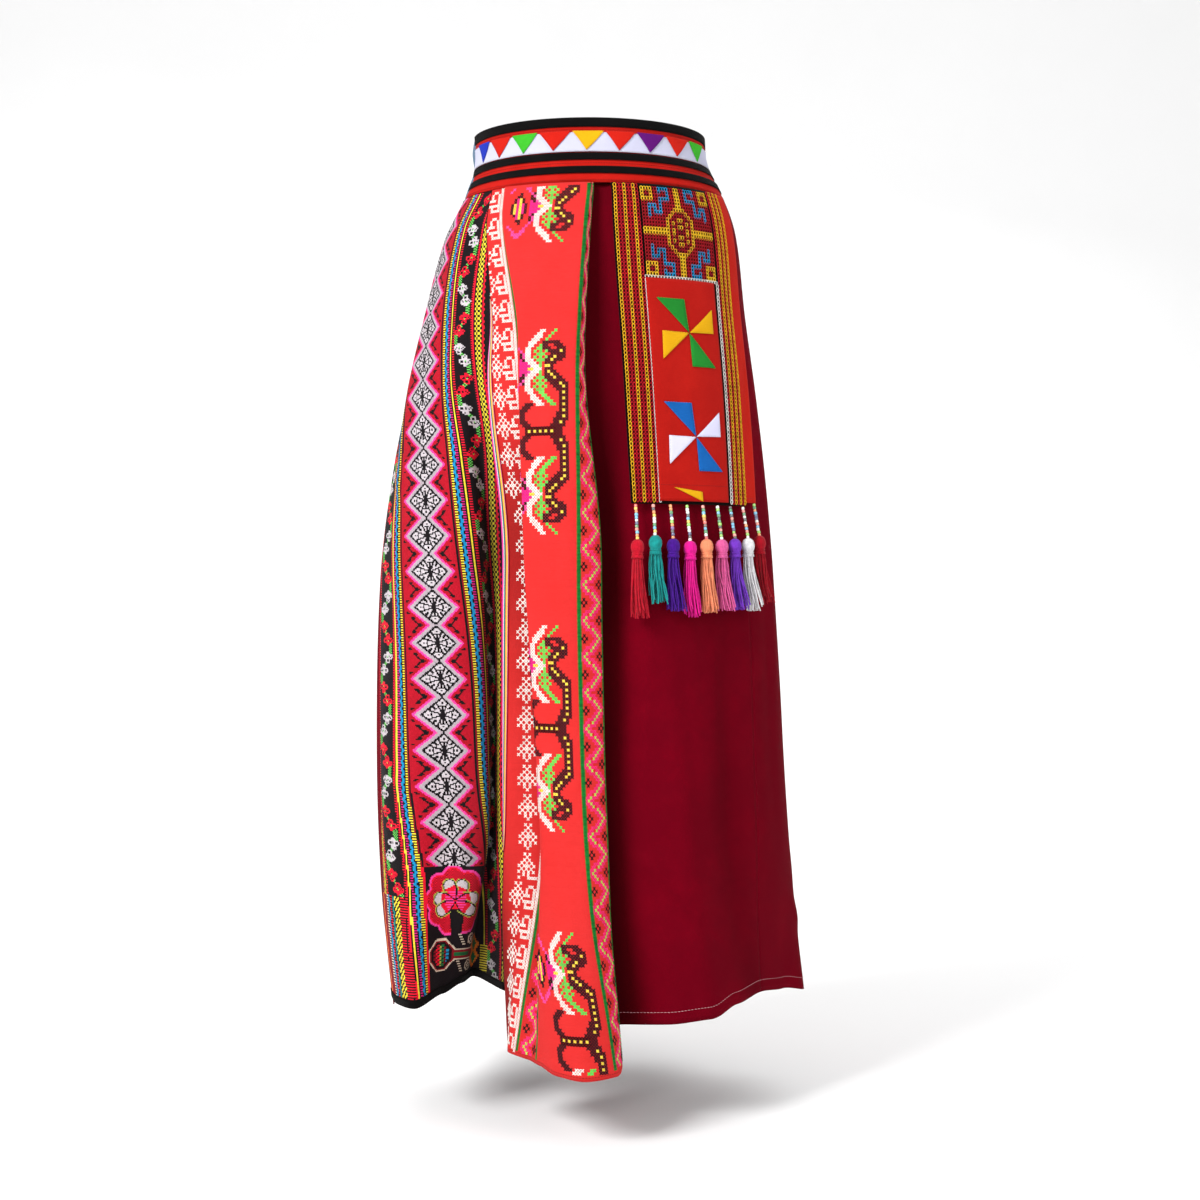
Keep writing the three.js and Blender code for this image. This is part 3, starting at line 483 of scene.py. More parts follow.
def folded_edge(name, cloth, columns, edge, away, reach, inner, wall):
    """A binding folded over an edge of the cloth, with a rounded fold; away is 1 for a top edge, -1 for a hem."""
    bend = np.linspace(0, np.pi, 7)
    out = inner + wall
    outline = (
        [(out, -reach * (1 - k)) for k in (0.0, 0.35, 0.7)]
        + [(out * math.cos(a), wall * math.sin(a)) for a in bend]
        + [(-out, -reach * k) for k in (0.3, 0.65, 1.0)]
        + [(-inner, -reach), (-inner, -0.2), (inner, -0.2), (inner, -reach)]
    )
    t = np.linspace(cloth.first, cloth.last, columns)
    z0 = edge(t)
    rings = np.stack([cloth.point(t, z0 + away * h, o) for o, h in outline], axis=1)
    n = len(outline)
    faces = []
    for c in range(columns - 1):
        for k in range(n):
            a, b = c * n + k, c * n + (k + 1) % n
            faces.append((a, a + n, b + n, b) if away > 0 else (a, b, b + n, a + n))
    ends = [tuple(range(n)), tuple(range((columns - 1) * n, columns * n))]
    ends = [ends[0] if away > 0 else ends[0][::-1], ends[1][::-1] if away > 0 else ends[1]]
    piece = put_object(name, rings.reshape(-1, 3), faces + ends)
    u = np.broadcast_to(cloth.u_of(t, z0)[:, None], (columns, n))
    steps = [math.dist(outline[k], outline[k + 1]) for k in range(n - 1)]
    h = np.broadcast_to(np.cumsum([0] + steps), (columns, n))
    give_uv(piece, np.stack([u, h], axis=-1).reshape(-1, 2))
    return piece


def linear(colour):
    """Scene-linear colour from a hex value."""
    srgb = [int(colour[k:k + 2], 16) / 255 for k in (1, 3, 5)]
    return tuple(c / 12.92 if c <= 0.04045 else ((c + 0.055) / 1.055) ** 2.4 for c in srgb)


# Shader maths


def add_node(tree, kind, settings=None, sockets=None):
    """A node with its settings made first, then the values or links of its sockets."""
    node = tree.nodes.new(kind)
    for name, value in (settings or {}).items():
        setattr(node, name, value)
    for slot, value in (sockets or {}).items():
        if isinstance(value, Wire):
            value = value.socket
        if isinstance(value, bpy.types.NodeSocket):
            tree.links.new(value, node.inputs[slot])
        else:
            node.inputs[slot].default_value = value
    return node


class Wire:
    """A shader socket, so that shader maths reads as maths."""

    def __init__(self, tree, socket):
        self.tree, self.socket = tree, socket

    def maths(self, operation, *others):
        values = dict(enumerate((self, *others)))
        return Wire(self.tree, add_node(self.tree, "ShaderNodeMath", {"operation": operation}, values).outputs[0])

    def __add__(self, other):
        return self.maths("ADD", other)

    def __sub__(self, other):
        return self.maths("SUBTRACT", other)

    def __mul__(self, other):
        return self.maths("MULTIPLY", other)

    def __rsub__(self, other):
        return (self * -1.0).maths("ADD", other)

    __radd__ = __add__
    __rmul__ = __mul__

    def sine(self):
        return self.maths("SINE")

    def size(self):
        return self.maths("ABSOLUTE")

    def limited(self, low=0.0, high=1.0):
        return self.maths("MAXIMUM", low).maths("MINIMUM", high)


class Finish:
    """A material with one principled shader and short ways to drive it."""

    def __init__(self, name, roughness, sheen=0.0, specular=0.3, coat=0.0):
        self.material = bpy.data.materials.new(name)
        self.material.use_nodes = True
        self.tree = self.material.node_tree
        self.shader = self.tree.nodes["Principled BSDF"]
        for socket, value in (
            ("Roughness", roughness), ("Sheen Weight", sheen), ("Sheen Roughness", 0.5),
            ("Specular IOR Level", specular), ("Coat Weight", coat),
        ):
            self.shader.inputs[socket].default_value = value
        self.place = self.wire("ShaderNodeTexCoord", out="Object")

    def wire(self, kind, settings=None, sockets=None, out=0):
        """One output of a new node."""
        return Wire(self.tree, add_node(self.tree, kind, settings, sockets).outputs[out])

    def flat(self):
        """The flat place on the cloth, across and up."""
        uv = self.wire("ShaderNodeUVMap", {"uv_map": "flat"})
        parts = add_node(self.tree, "ShaderNodeSeparateXYZ", None, {0: uv})
        return Wire(self.tree, parts.outputs[0]), Wire(self.tree, parts.outputs[1])

    def join(self, x, y):
        return self.wire("ShaderNodeCombineXYZ", None, {0: x, 1: y})

    def noise(self, scale, detail=2.0, at=None):
        values = {"Scale": scale, "Detail": detail, "Roughness": 0.55, "Vector": at or self.place}
        return self.wire("ShaderNodeTexNoise", None, values, "Fac")

    def mix(self, share, low, high):
        low, high = (c if isinstance(c, Wire) else (*c, 1.0) for c in (low, high))
        return self.wire("ShaderNodeMix", {"data_type": "RGBA"}, {0: share, 6: low, 7: high}, 2)

    def colour_from(self, name):
        return self.wire("ShaderNodeVertexColor", {"layer_name": name}, out="Color")

    def value_from(self, name):
        return self.wire("ShaderNodeAttribute", {"attribute_name": name}, out="Fac")

    def drive(self, socket, value):
        self.tree.links.new(value.socket, self.shader.inputs[socket])

    def paint(self, colour):
        self.drive("Base Color", colour)

    def roughen(self, value):
        self.drive("Roughness", value)

    def bump(self, height, distance, strength=0.6):
        values = {"Distance": distance, "Strength": strength, "Height": height}
        self.drive("Normal", self.wire("ShaderNodeBump", None, values))


def woven(
    name, colour, shade, thread_mm=0.9, roughness=0.85, sheen=0.03, relief=0.25, slub=0.35, worn=0.06, ripple=0.0,
):
    """Plain woven cloth: crossing threads in relief, uneven threads, softly uneven dye, and painted shade deep in the
    skirt's folds.
    """
    cloth = Finish(name, roughness, sheen=sheen, specular=0.03)
    u, v = cloth.flat()
    turns = 2 * math.pi / (thread_mm * MM)
    warp, weft = (u * turns).sine(), (v * turns).sine()
    weave = warp * weft * 0.5 + warp.size() * 0.25 + weft.size() * 0.25
    threads = cloth.noise(1.0, 2.0, cloth.join(u * 160.0, v * 1500.0))
    crossing = cloth.noise(1.0, 2.0, cloth.join(u * 1500.0, v * 160.0))
    dye = cloth.noise(14.0, 4.0)
    patch = cloth.noise(60.0, 3.0)
    share = (dye * 0.55 + patch * 0.25 + threads * slub + crossing * slub * 0.6 - 0.45 - slub * 0.5).limited()
    base = cloth.mix(share, linear(shade), linear(colour))
    pale = tuple(min(1.0, c * 1.2 + 0.012) for c in linear(colour))
    base = cloth.mix((cloth.noise(35.0, 5.0) * 2.2 - 1.25).limited() * worn, base, pale)
    # Painted shade: the deeper a place lies in the skirt's folds, the more it darkens to a dark copy of the dye's
    # shade
    deep = tuple(c * 0.3 for c in linear(shade))
    cloth.paint(cloth.mix((cloth.value_from("valley") * 0.9).limited(), base, deep))
    cloth.roughen(threads * 0.16 + (roughness - 0.08))
    height = weave + threads * 0.7 + crossing * 0.4
    if ripple:
        height = height + cloth.noise(1.0, 3.0, cloth.join(u * 7.0, v * 95.0)) * ripple
    cloth.bump(height, relief * MM, 0.55)
    return cloth.material


def threads_finish(name, roughness=0.62, sheen=0.03, fibre=900.0, depth=0.35, shine=0.14):
    """Stranded cotton: the colour of each stitch, darker between fibres."""
    cotton = Finish(name, roughness, sheen=sheen, specular=shine)
    fibres = cotton.noise(fibre, 2.0)
    cloudy = cotton.noise(70.0, 3.0)
    colour = cotton.colour_from("thread")
    dark = cotton.mix(0.45, colour, (0.0, 0.0, 0.0))
    cotton.paint(cotton.mix((fibres * 1.5 + cloudy * 0.7 - 0.55).limited(), dark, colour))
    cotton.roughen(fibres * 0.3 + (roughness - 0.15))
    cotton.bump(fibres, depth * MM, 0.5)
    return cotton.material


FINISHES = {}


def finish(name, make, *values, **named):
    """One material of each name, made when it is first asked for."""
    if name not in FINISHES:
        FINISHES[name] = make(name, *values, **named)
    return FINISHES[name]


def dress(piece, material, nodes):
    """Gives a piece its finish and its body, and hides the frame nodes it stands for."""
    piece.data.materials.append(material)
    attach(piece, "root")
    nodes = (nodes,) if isinstance(nodes, str) else tuple(nodes)
    if nodes:
        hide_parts(*nodes)
    return piece


def cut(piece, share=1.0):
    """Hands back a sewn piece as it is; share is not used."""
    return piece


def cut_part(piece, cloth, first, last, bottom):
    """Works out how much of its widest level line the mean width of the part of a cloth between two of its lines
    fills, and hands the piece on through cut.
    """
    z = np.linspace(cloth.top, bottom, 80)
    wide = cloth.u_of(np.full_like(z, last), z) - cloth.u_of(np.full_like(z, first), z)
    return cut(piece, share=float(wide.mean() / wide.max()))


def flat_area(cloth):
    """Widest level line, longest plumb drop and area of a cloth, in metres."""
    drop = cloth.top - cloth.bottom(np.linspace(cloth.first, cloth.last, 60))
    rows = cloth.arc[:, -1] * MM
    width, length = float(np.max(rows)), float(np.max(drop)) * MM
    return width, length, min(float(np.mean(rows)) * float(np.mean(drop)) * MM, width * length)


# Stitches


def ridge_arm(direction, width, height):
    """One arm of a stitch: a low ridge of thread from end to end."""
    d = np.array(direction, float)
    side = np.array([-d[1], d[0]]) / np.linalg.norm(d)
    points, faces = [], []
    for k, (w, h) in zip((-1, 0, 1), ((0.55, 0.0), (1.0, 1.0), (0.55, 0.0))):
        at = d * k * 0.5
        points += [
            (*(at + side * w * width), 0.0), (*at, 0.05 + h * height), (*(at - side * w * width), 0.0)]
    for k in (0, 3):
        faces += [(k, k + 1, k + 4, k + 3), (k + 1, k + 2, k + 5, k + 4)]
    return points, [f[::-1] for f in faces]


def cross_template():
    """A cross-stitch: one arm lies over the other."""
    first = ridge_arm((0.94, 0.94), 0.25, 0.16)
    second = ridge_arm((-0.94, 0.94), 0.25, 0.27)
    points = first[0] + second[0]
    faces = first[1] + [tuple(len(first[0]) + k for k in f) for f in second[1]]
    return template_mesh("cross", points, faces)


def bar_template():
    """A straight stitch."""
    points, faces = ridge_arm((1.0, 0.0), 0.5, 0.35)
    return template_mesh("bar", points, faces)


def loop_template(around=8, width=0.9, length=1.1, thick=0.1):
    """One link of chain stitch."""
    points, faces = [], []
    for k in range(around):
        a = 2 * math.pi * k / around
        c, s = math.cos(a), math.sin(a)
        pinch = 0.72 + 0.28 * s
        centre = np.array([c * width * 0.5 * pinch, s * length * 0.5])
        away = np.array([c, s])
        for h, o in ((0.0, thick), (0.3, 0.02), (0.0, -thick)):
            points.append((*(centre + away * o), h + 0.1 * s))
    for k in range(around):
        n = (k + 1) % around
        for j in (0, 1):
            faces.append((3 * k + j, 3 * n + j, 3 * n + j + 1, 3 * k + j + 1))
    return template_mesh("loop", points, faces)


def bead_template(around=12):
    """A round-cornered glass bead with its hole upright."""
    outline = [(0.16, -0.36), (0.34, -0.42), (0.48, -0.26), (0.5, 0.0), (0.48, 0.26), (0.34, 0.42), (0.16, 0.36)]
    points, faces = [], []
    n = len(outline)
    for k in range(around):
        a = 2 * math.pi * k / around
        points += [(r * math.cos(a), r * math.sin(a), h) for r, h in outline]
    for k in range(around):
        m = (k + 1) % around
        for j in range(n):
            i = (j + 1) % n
            faces.append((k * n + j, m * n + j, m * n + i, k * n + i))
    return template_mesh("bead", points, faces)


def template_mesh(name, points, faces):
    """A stitch or bead of unit size, which is removed once its places are filled."""
    mesh = bpy.data.meshes.new(name)
    mesh.from_pydata([tuple(map(float, p)) for p in points], [], faces)
    mesh.polygons.foreach_set("use_smooth", [True] * len(mesh.polygons))
    template = bpy.data.objects.new(name, mesh)
    bpy.context.scene.collection.objects.link(template)
    return template


def turns(right, up, out):
    """Euler angles of axes given as rows of vectors."""
    return np.stack([
        np.arctan2(up[:, 2], out[:, 2]),
        -np.arcsin(np.clip(right[:, 2], -1, 1)),
        np.arctan2(right[:, 1], right[:, 0]),
    ], axis=1)


def open_tree(name, inputs, output):
    """A geometry node tree with named inputs, and the sockets that they come in by."""
    tree = bpy.data.node_groups.new(name, "GeometryNodeTree")
    for label, kind in inputs:
        tree.interface.new_socket(label, in_out="INPUT", socket_type=f"NodeSocket{kind}")
    tree.interface.new_socket(output, in_out="OUTPUT", socket_type="NodeSocketGeometry")
    return tree, add_node(tree, "NodeGroupInput").outputs


def close_tree(tree, geometry, material):
    """Makes a tree's instances real, gives them their finish and hands them out."""
    real = add_node(tree, "GeometryNodeRealizeInstances", None, {"Geometry": geometry})
    skin = add_node(tree, "GeometryNodeSetMaterial", None, {"Geometry": real.outputs[0], "Material": material})
    add_node(tree, "NodeGroupOutput", None, {0: skin.outputs[0]})
    return tree


def repeat_tree():
    """Geometry Nodes: one template on every point, turned, sized and coloured by the point."""
    inputs = (("Places", "Geometry"), ("Stitch", "Object"), ("Size", "Float"), ("Finish", "Material"))
    tree, given = open_tree("Repeated stitch", inputs, "Stitches")
    info = add_node(tree, "GeometryNodeObjectInfo", None, {"As Instance": True, "Object": given["Stitch"]})
    turn, size = (
        add_node(tree, "GeometryNodeInputNamedAttribute", {"data_type": "FLOAT_VECTOR"}, {"Name": name})
        for name in ("turn", "size"))
    euler = add_node(tree, "FunctionNodeEulerToRotation", None, {0: turn.outputs["Attribute"]})
    scaled = add_node(tree, "ShaderNodeVectorMath", {"operation": "SCALE"},
                      {0: size.outputs["Attribute"], "Scale": given["Size"]})
    on_points = add_node(tree, "GeometryNodeInstanceOnPoints", None, {
        "Points": given["Places"], "Instance": info.outputs["Geometry"],
        "Rotation": euler.outputs[0], "Scale": scaled.outputs["Vector"]})
    return close_tree(tree, on_points.outputs["Instances"], given["Finish"])


def yarn_tree():
    """Geometry Nodes: round yarn of one thickness along every line of a mesh."""
    inputs = (("Lines", "Geometry"), ("Radius", "Float"), ("Finish", "Material"))
    tree, given = open_tree("Yarn", inputs, "Yarns")
    curve = add_node(tree, "GeometryNodeMeshToCurve", None, {"Mesh": given["Lines"]})
    circle = add_node(tree, "GeometryNodeCurvePrimitiveCircle", None, {"Resolution": 5, "Radius": given["Radius"]})
    tube = add_node(tree, "GeometryNodeCurveToMesh", None, {
        "Curve": curve.outputs["Curve"], "Profile Curve": circle.outputs["Curve"], "Fill Caps": True})
    return close_tree(tree, tube.outputs["Mesh"], given["Finish"])


def apply_tree(piece, name, make_tree, **values):
    """Runs a tree on a piece and keeps what it makes as the piece's own mesh."""
    modifier = piece.modifiers.new(name, "NODES")
    modifier.node_group = bpy.data.node_groups.get(name) or make_tree()
    sockets = modifier.node_group.interface.items_tree
    for label, value in values.items():
        modifier[sockets[label].identifier] = value
    return plain_mesh(piece)


def plain_mesh(piece):
    """Turns what a piece's modifiers make into its own mesh."""
    whole = piece.evaluated_get(bpy.context.evaluated_depsgraph_get())
    mesh = bpy.data.meshes.new_from_object(whole)
    piece.modifiers.clear()
    piece.data = mesh
    return piece


def repeated(name, template, places, right, up, out, sizes, colours, material):
    """A piece made of one template at many places, in millimetres."""
    count = len(places)
    mesh = bpy.data.meshes.new(name)
    mesh.from_pydata((np.asarray(places) * MM).tolist(), [], [])
    for label, kind, key, values in (
        ("turn", "FLOAT_VECTOR", "vector", turns(right, up, out)),
        ("size", "FLOAT_VECTOR", "vector", np.broadcast_to(sizes, (count, 3))),
        ("thread", "FLOAT_COLOR", "color", np.concatenate([colours, np.ones((count, 1))], axis=1)),
    ):
        mesh.attributes.new(label, kind, "POINT").data.foreach_set(key, values.astype(np.float32).ravel())
    piece = bpy.data.objects.new(name, mesh)
    bpy.context.scene.collection.objects.link(piece)
    return apply_tree(piece, "Repeated stitch", repeat_tree, Stitch=template, Size=MM, Finish=material)


def palette(names, table):
    """Scene-linear colours of a list of colour names."""
    return np.array([linear(table[n]) for n in names])


def give_face_colours(piece, colours):
    """Colours the four corners of every face alike, for the shaders."""
    layer = piece.data.color_attributes.new("thread", "FLOAT_COLOR", "CORNER")
    whole = np.concatenate([colours, np.ones((len(colours), 1))], axis=1)
    layer.data.foreach_set("color", np.repeat(whole, 4, axis=0).astype(np.float32).ravel())


def uneven(colours, seed, amount=0.1):
    """Small differences of dye from stitch to stitch."""
    rng = np.random.default_rng(seed)
    return np.clip(colours * (1 + amount * rng.normal(size=(len(colours), 1))), 0, 1)


def joined_to(piece):
    """A piece of sewing rides with the skirt."""
    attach(piece, "root")
    return piece


# Charts of the front panel, in stitches

CREAM, PINK, ROSE, LIME = "#f4e9e2", "#ff4fa6", "#e81f8c", "#b6e25a"
BROWN, YELLOW, LEAF, DARK_GREEN, NIGHT = "#28040e", "#ffe650", "#4be05a", "#0f7a2c", "#0a0406"
SPRIG = [".#.", "#.#", ".#."]
# Paths of the motif in stitches: left from the green line, down from the bar
BROWN_PATH = [
    (15.7, 0), (7.1, 0), (3.8, 6), (3.8, 14.3), (9.3, 20.2), (9.5, 22.4), (7.1, 24.8), (4.8, 27),
]
BROWN_CURL = [(4.8, 27), (4.8, 28.3), (6.7, 30.5), (9.5, 30.2), (10.2, 28.8), (8.3, 27.4)]
BROWN_SCROLL = [(15.7, 0.8), (17.6, 3.1), (18.1, 5.5), (16.9, 7.9), (15.3, 9)]
WHITE_STEPS = [(11.2, 9), (16.2, 14.3), (16.2, 17.1), (12.4, 21), (15.7, 24.5), (15.7, 28.3), (11.2, 33.8)]
GREEN_STEPS = [(7.4, 9), (12.4, 13.8), (12.4, 28.6), (7.4, 33.6)]
# Bars of the motifs below the waist (mm)
MOTIF_BARS = (-36.0, 253.0, 541.0, 835.0)
TRACE_STEP = 0.2


def trace(cells, path, half, colour, dots=None):
    """Works a path of points in stitches into the chart, with dots along its middle."""
    done = 0.0
    for (x0, y0), (x1, y1) in zip(path[:-1], path[1:]):
        length = math.hypot(x1 - x0, y1 - y0)
        for k in range(int(length / TRACE_STEP) + 1):
            x = x0 + (x1 - x0) * TRACE_STEP * k / max(length, 0.01)
            y = y0 + (y1 - y0) * TRACE_STEP * k / max(length, 0.01)
            reach = np.arange(-half, half + 1)
            for i in reach:
                for j in reach:
                    cells.setdefault((int(round(x + i)), int(round(y + j))), colour)
            if dots and (done + TRACE_STEP * k) % 2.0 < TRACE_STEP:
                cells[(int(round(x)), int(round(y)))] = dots
        done += length


def motif():
    """Half of the main motif of the front panel, below its bar; x counts left from the green line."""
    cells = {}
    for y in range(10, 34):
        for x in range(13, 29):
            dx, dy = abs(x - 23.4), abs(y - 21.4)
            ring_at = dx / 9.8 + dy / 11.5
            if 0.86 < ring_at <= 1.0:
                cells[(x, y)] = PINK
            elif dx / 9.8 + dy / 6.0 <= 0.95 and x < 20:
                cells[(x, y)] = ROSE
            elif abs(dx - 5.0) < 0.7 and dy < 5.5:
                cells[(x, y)] = NIGHT
            elif dx / 2.6 + dy / 5.0 <= 1.0:
                cells[(x, y)] = YELLOW if x % 2 else ROSE
            elif dx / 3.6 + dy / 6.4 <= 1.0:
                cells[(x, y)] = NIGHT
    for x, y in ((15, 20), (15, 22), (16, 21), (14, 21), (15, 21)):
        cells[(x, y)] = YELLOW
    top = {}
    trace(top, WHITE_STEPS, 0, CREAM)
    for x, y in list(top):
        top[(x + 1, y)] = CREAM
    trace(top, GREEN_STEPS, 0, LEAF)
    for y in list(range(14, 19)) + list(range(24, 29)):
        top[(10 + (y % 2 == 0), y)] = LEAF
        top[(14 - (y % 2 == 0), y)] = LEAF
    trace(top, BROWN_SCROLL, 0, BROWN)
    for x, y in [k for k, c in top.items() if c == BROWN]:
        top[(x + 1, y)] = BROWN
    curl = {}
    trace(curl, BROWN_CURL, 0, BROWN)
    top.update(curl)
    top.update({(x + 1, y): BROWN for x, y in curl})
    path = {}
    trace(path, BROWN_PATH, 1, BROWN, dots=YELLOW)
    top.update(path)
    cells.update(top)
    return cells


# The chevron bands are this many stitches wide; the white line is this far from the seam (mm)
CHEVRON_STITCHES = 10
WHITE_LINE = 38.0
STITCHED_LENGTH = 864
STARS_NARROW = (320, 690)
STAR_TILE = [
    "...#.#......",
    "....#....##.",
    "...#.#..#..#",
    "..#.#.#.#..#",
    ".#.###.###.#",
    "..#.#.#....#",
    ".#.#.#.#####",
    "...#.#..#..#",
    "....#...####",
    "............",
]


def chevron(row):
    """Stitches across a chevron band, for one row of its repeat of twelve."""
    line = {}
    last = CHEVRON_STITCHES - 1
    swing = 1 + (last - 1.5) * abs((row % 12) / 6 - 1)
    for c in range(CHEVRON_STITCHES):
        if 0.6 < abs(swing - c) <= 2.9:
            line[c] = "#ff2f78"
    line[int(round(swing))] = LIME
    for middle, centre in ((0, 1), (6, 8)):
        off = (row - middle + 6) % 12 - 6
        if abs(off) <= 1:
            for k in (-1, 0, 1):
                if SPRIG[off + 1][k + 1] == "#":
                    line[centre + k] = NIGHT
    return line


def front_stitches(pitch):
    """Flat place, height below the waist, colour and group of every cross-stitch of the front panel."""
    rows = []
    for r in range(int(STITCHED_LENGTH / pitch)):
        v = (r + 0.5) * pitch
        for c, colour in chevron(r).items():
            rows.append(((c + 0.5) / CHEVRON_STITCHES, v, colour, "right_chevron"))
            rows.append((WHITE_LINE + 7.5 + (c + 0.5) * 2.7, v, colour, "strip"))
        rows.append((WHITE_LINE, v, CREAM, "strip"))
        for c, mark in enumerate(STAR_TILE[r % 10]):
            whole = v < STARS_NARROW[0] or v > STARS_NARROW[1]
            if mark == "#" and (whole or c < 8):
                shift = 12.2 if whole else 9.4
                rows.append((WHITE_LINE - (shift - c) * pitch, v, CREAM, "strip"))
    chart = motif()
    for bar in MOTIF_BARS:
        for (x, y), colour in chart.items():
            for side in (1, -1) if y else (1,):
                v = bar + side * y * pitch
                if 2 < v < STITCHED_LENGTH and 0 <= x < 28:
                    rows.append(((x + 0.6) * pitch, v, colour, "field"))
    return rows


# Rib that the white line follows at each height, and the ribs of the crest and of the right band's edges
WHITE_LINE_RIB = table_curve([33, 200, 450, 626, 716, 787, 870], [6.85, 6.95, 7.05, 7.1, 7.18, 7.25, 7.3])
CREST_RIB, GREEN_RIB, EDGE_RIB = 8.85, 12.0, 13.0


def front_places(x, v, group):
    """Arc and height of flat places on the front panel, which of them it has room for, and their width.

    The strip counts from the seam to the white line and on, the field counts left from the right
    green line, and the right chevron band is a share of the way from that line to the front edge.
    """
    z = WAIST_LINE - v
    green, edge, crest = (
        FRONT_CLOTH.u_of(np.full_like(z, rib), z) for rib in (GREEN_RIB, EDGE_RIB, CREST_RIB))
    if group == "strip":
        u = FRONT_CLOTH.u_of(WHITE_LINE_RIB(-z), z) + x - WHITE_LINE
        keep = (u > 1.0) & (u < crest)
    elif group == "field":
        u = green - x
        keep = u > crest
    else:
        u = green + 1.5 + (edge - green - 2.5) * x
        keep = u > crest
    keep &= z > hem_of(FRONT_CLOTH.t_of(u, z), CHANGED_HEMS) + 4
    squeeze = np.where(group == "right_chevron", (edge - green - 2.5) / CHEVRON_STITCHES, 2.9)
    return u, z, keep, squeeze


# Chart of the left panel, in millimetres from its middle line and down from the waist

LEFT_CELL = 1.28
# How much wider than charted the outer half is, and where the middle line lies from the seam
OUTER_STRETCH = table_curve([33, 300, 600, 720, 880], [1.12, 1.2, 1.2, 1.0, 0.94])
LEFT_MIDDLE = table_curve([33, 107, 200, 277, 420, 580, 700, 880], [48, 60, 84, 97, 103, 99, 105, 107])
LEFT_COLOURS = {
    "black": "#120c10", "ground": "#ae0c22", "deep": "#860a1c", "pink": "#f0409a", "grey": "#aea2a9",
    "white": "#c8bfc4", "lime": "#66cc58", "yellow": "#ecd63a", "blue": "#1688bc", "magenta": "#d21a78",
    "red": "#e2122e", "cream": "#d8c8b0", "moss": "#a8b04a", "green": "#1c6a3a", "orange": "#ef7a1e",
    "teal": "#1a8a8a",
}


def left_panel_chart(x, v):
    """Colour index of every cell of the left panel; x from its middle line, v down from the waist."""
    names = list(LEFT_COLOURS)
    index = {n: i for i, n in enumerate(names)}
    out = np.full(x.shape, index["black"])

    def put(where, name):
        out[where] = index[name]

    apart = np.abs(x)
    row = np.floor(v / LEFT_CELL).astype(int)

    def wave(period):
        return np.abs((v / period) % 1 * 2 - 1)

    # Diamonds with eight-part flowers
    pitch, first = 35.7, 30.4
    dy = v - first - np.floor((v - first) / pitch + 0.5) * pitch
    p, q = x / 19.2, dy / (pitch / 2)
    near = np.abs(p) + np.abs(q)
    put(apart < 30, "ground")
    put((apart < 30) & (near < 1.42), "pink")
    put((apart < 30) & (near < 1.26), "grey")
    put(near < 1.02, "black")
    inner = near < 0.87
    put(inner, "white")
    away, angle = np.hypot(p, q), np.arctan2(q, p)
    eighth = np.pi / 4
    gaps = (np.abs(((angle / eighth) % 1) - 0.5) * eighth * away < 0.045) | (away < 0.1)
    gaps |= (apart < 0.54) & (np.abs(dy) < 9)
    gaps |= (near > 0.58) & (np.abs(np.abs(p) - np.abs(q)) < 0.09)
    gaps |= (np.abs(away - 0.5) < 0.035) & (np.minimum(np.abs(p), np.abs(q)) < 0.16)
    gaps |= (np.abs(away - 0.66) < 0.045) & (np.minimum(np.abs(p), np.abs(q)) < 0.05)
    put(inner & gaps, "black")
    # Dots and arrow marks in the side triangles
    dz = np.abs((v - first - pitch / 2) - np.floor((v - first - pitch / 2) / pitch + 0.5) * pitch)
    tri = (apart < 27.5) & (near > 1.5)
    put(tri & (np.abs(near - 1.7) < 0.09) & (dz % 5.4 < 2.4), "black")
    put(tri & (np.abs(near - 2.16) < 0.09) & ((dz + 2.7) % 5.4 < 2.4) & (dz > 7), "black")
    put(tri & (np.abs((apart - 15.5) - dz) < 1.3) & (dz < 7.5), "black")
    put(tri & (dz < 0.9) & (apart > 12) & (apart < 17), "black")
    # Bands from the middle to the sides
    put((apart >= 30) & (apart < 32), "black")
    put((apart >= 32) & (apart < 33), "deep")
    put((apart >= 33) & (apart < 36.4) & (row % 2 == 0), "yellow")
    put((np.abs(apart - 39 - 1.1 * (wave(7.5) * 2 - 1)) < 1.5), "blue")
    put((apart >= 41.6) & (apart < 44.6) & (row % 2 == 0), "magenta")
    put((apart >= 45.6) & (apart < 47.4), "yellow")
    put((apart >= 48.5) & (apart < 52) & ((row % 2 == 0) | (apart < 49.6)), "red")
    # Flowers of the wide black column, red and white by turns, and their vine
    turn = 31.0
    n = np.floor(v / turn)
    fy = v - (n + 0.5) * turn
    stretch = np.where(x < 0, 1.45, 1.05)
    fx = np.where(x < 0, apart - 66, apart - 61.5) / stretch
    petals = np.zeros(x.shape, bool)
    hearts = np.zeros(x.shape, bool)
    lean = np.where(n % 2 == 0, 1, -1)
    vine = -lean * np.clip(fy * 0.62, -6.5, 6.5)
    lattice = (row + np.floor(apart / LEFT_CELL)) % 2 == 0
    put((np.abs(fx - vine) < 2.1) & (np.abs(fx) < 9) & lattice, "lime")
    for end in (-1, 1):
        for ax, ay, size in ((0.0, -3.9, 2.9), (-3.4, 0.4, 2.9), (3.4, 0.4, 2.9), (0.0, 3.4, 2.2)):
            away = np.hypot(fx + end * lean * 2.9 - ax, (fy - end * 6.9 - end * ay) * 1.05)
            petals |= away < size
            hearts |= (np.abs(away - 1.1) < 0.45) & (size > 2.5) & (end * (fy - end * 6.9 - end * ay) < 0.9)
    put(petals & (n % 2 == 0), "red")
    put(petals & (n % 2 == 1), "white")
    put(hearts, "black")
    rest = apart - np.where(x < 0, 9.0, 0.0)
    put((rest >= 52.5) & (rest < 71) & (np.abs(fx) > 8.8), "black")
    put((rest >= 71.5) & (rest < 75) & ((row % 2 == 0) | (rest > 74)), "red")
    dash = ((row + 2 * np.floor((rest - 76) / 2)) % 4 < 2)
    put((rest >= 76.5) & (rest < 83.5) & dash, "yellow")
    put(np.abs(rest - 86.6 - 1.1 * (wave(6.0) * 2 - 1)) < 1.3, "red")
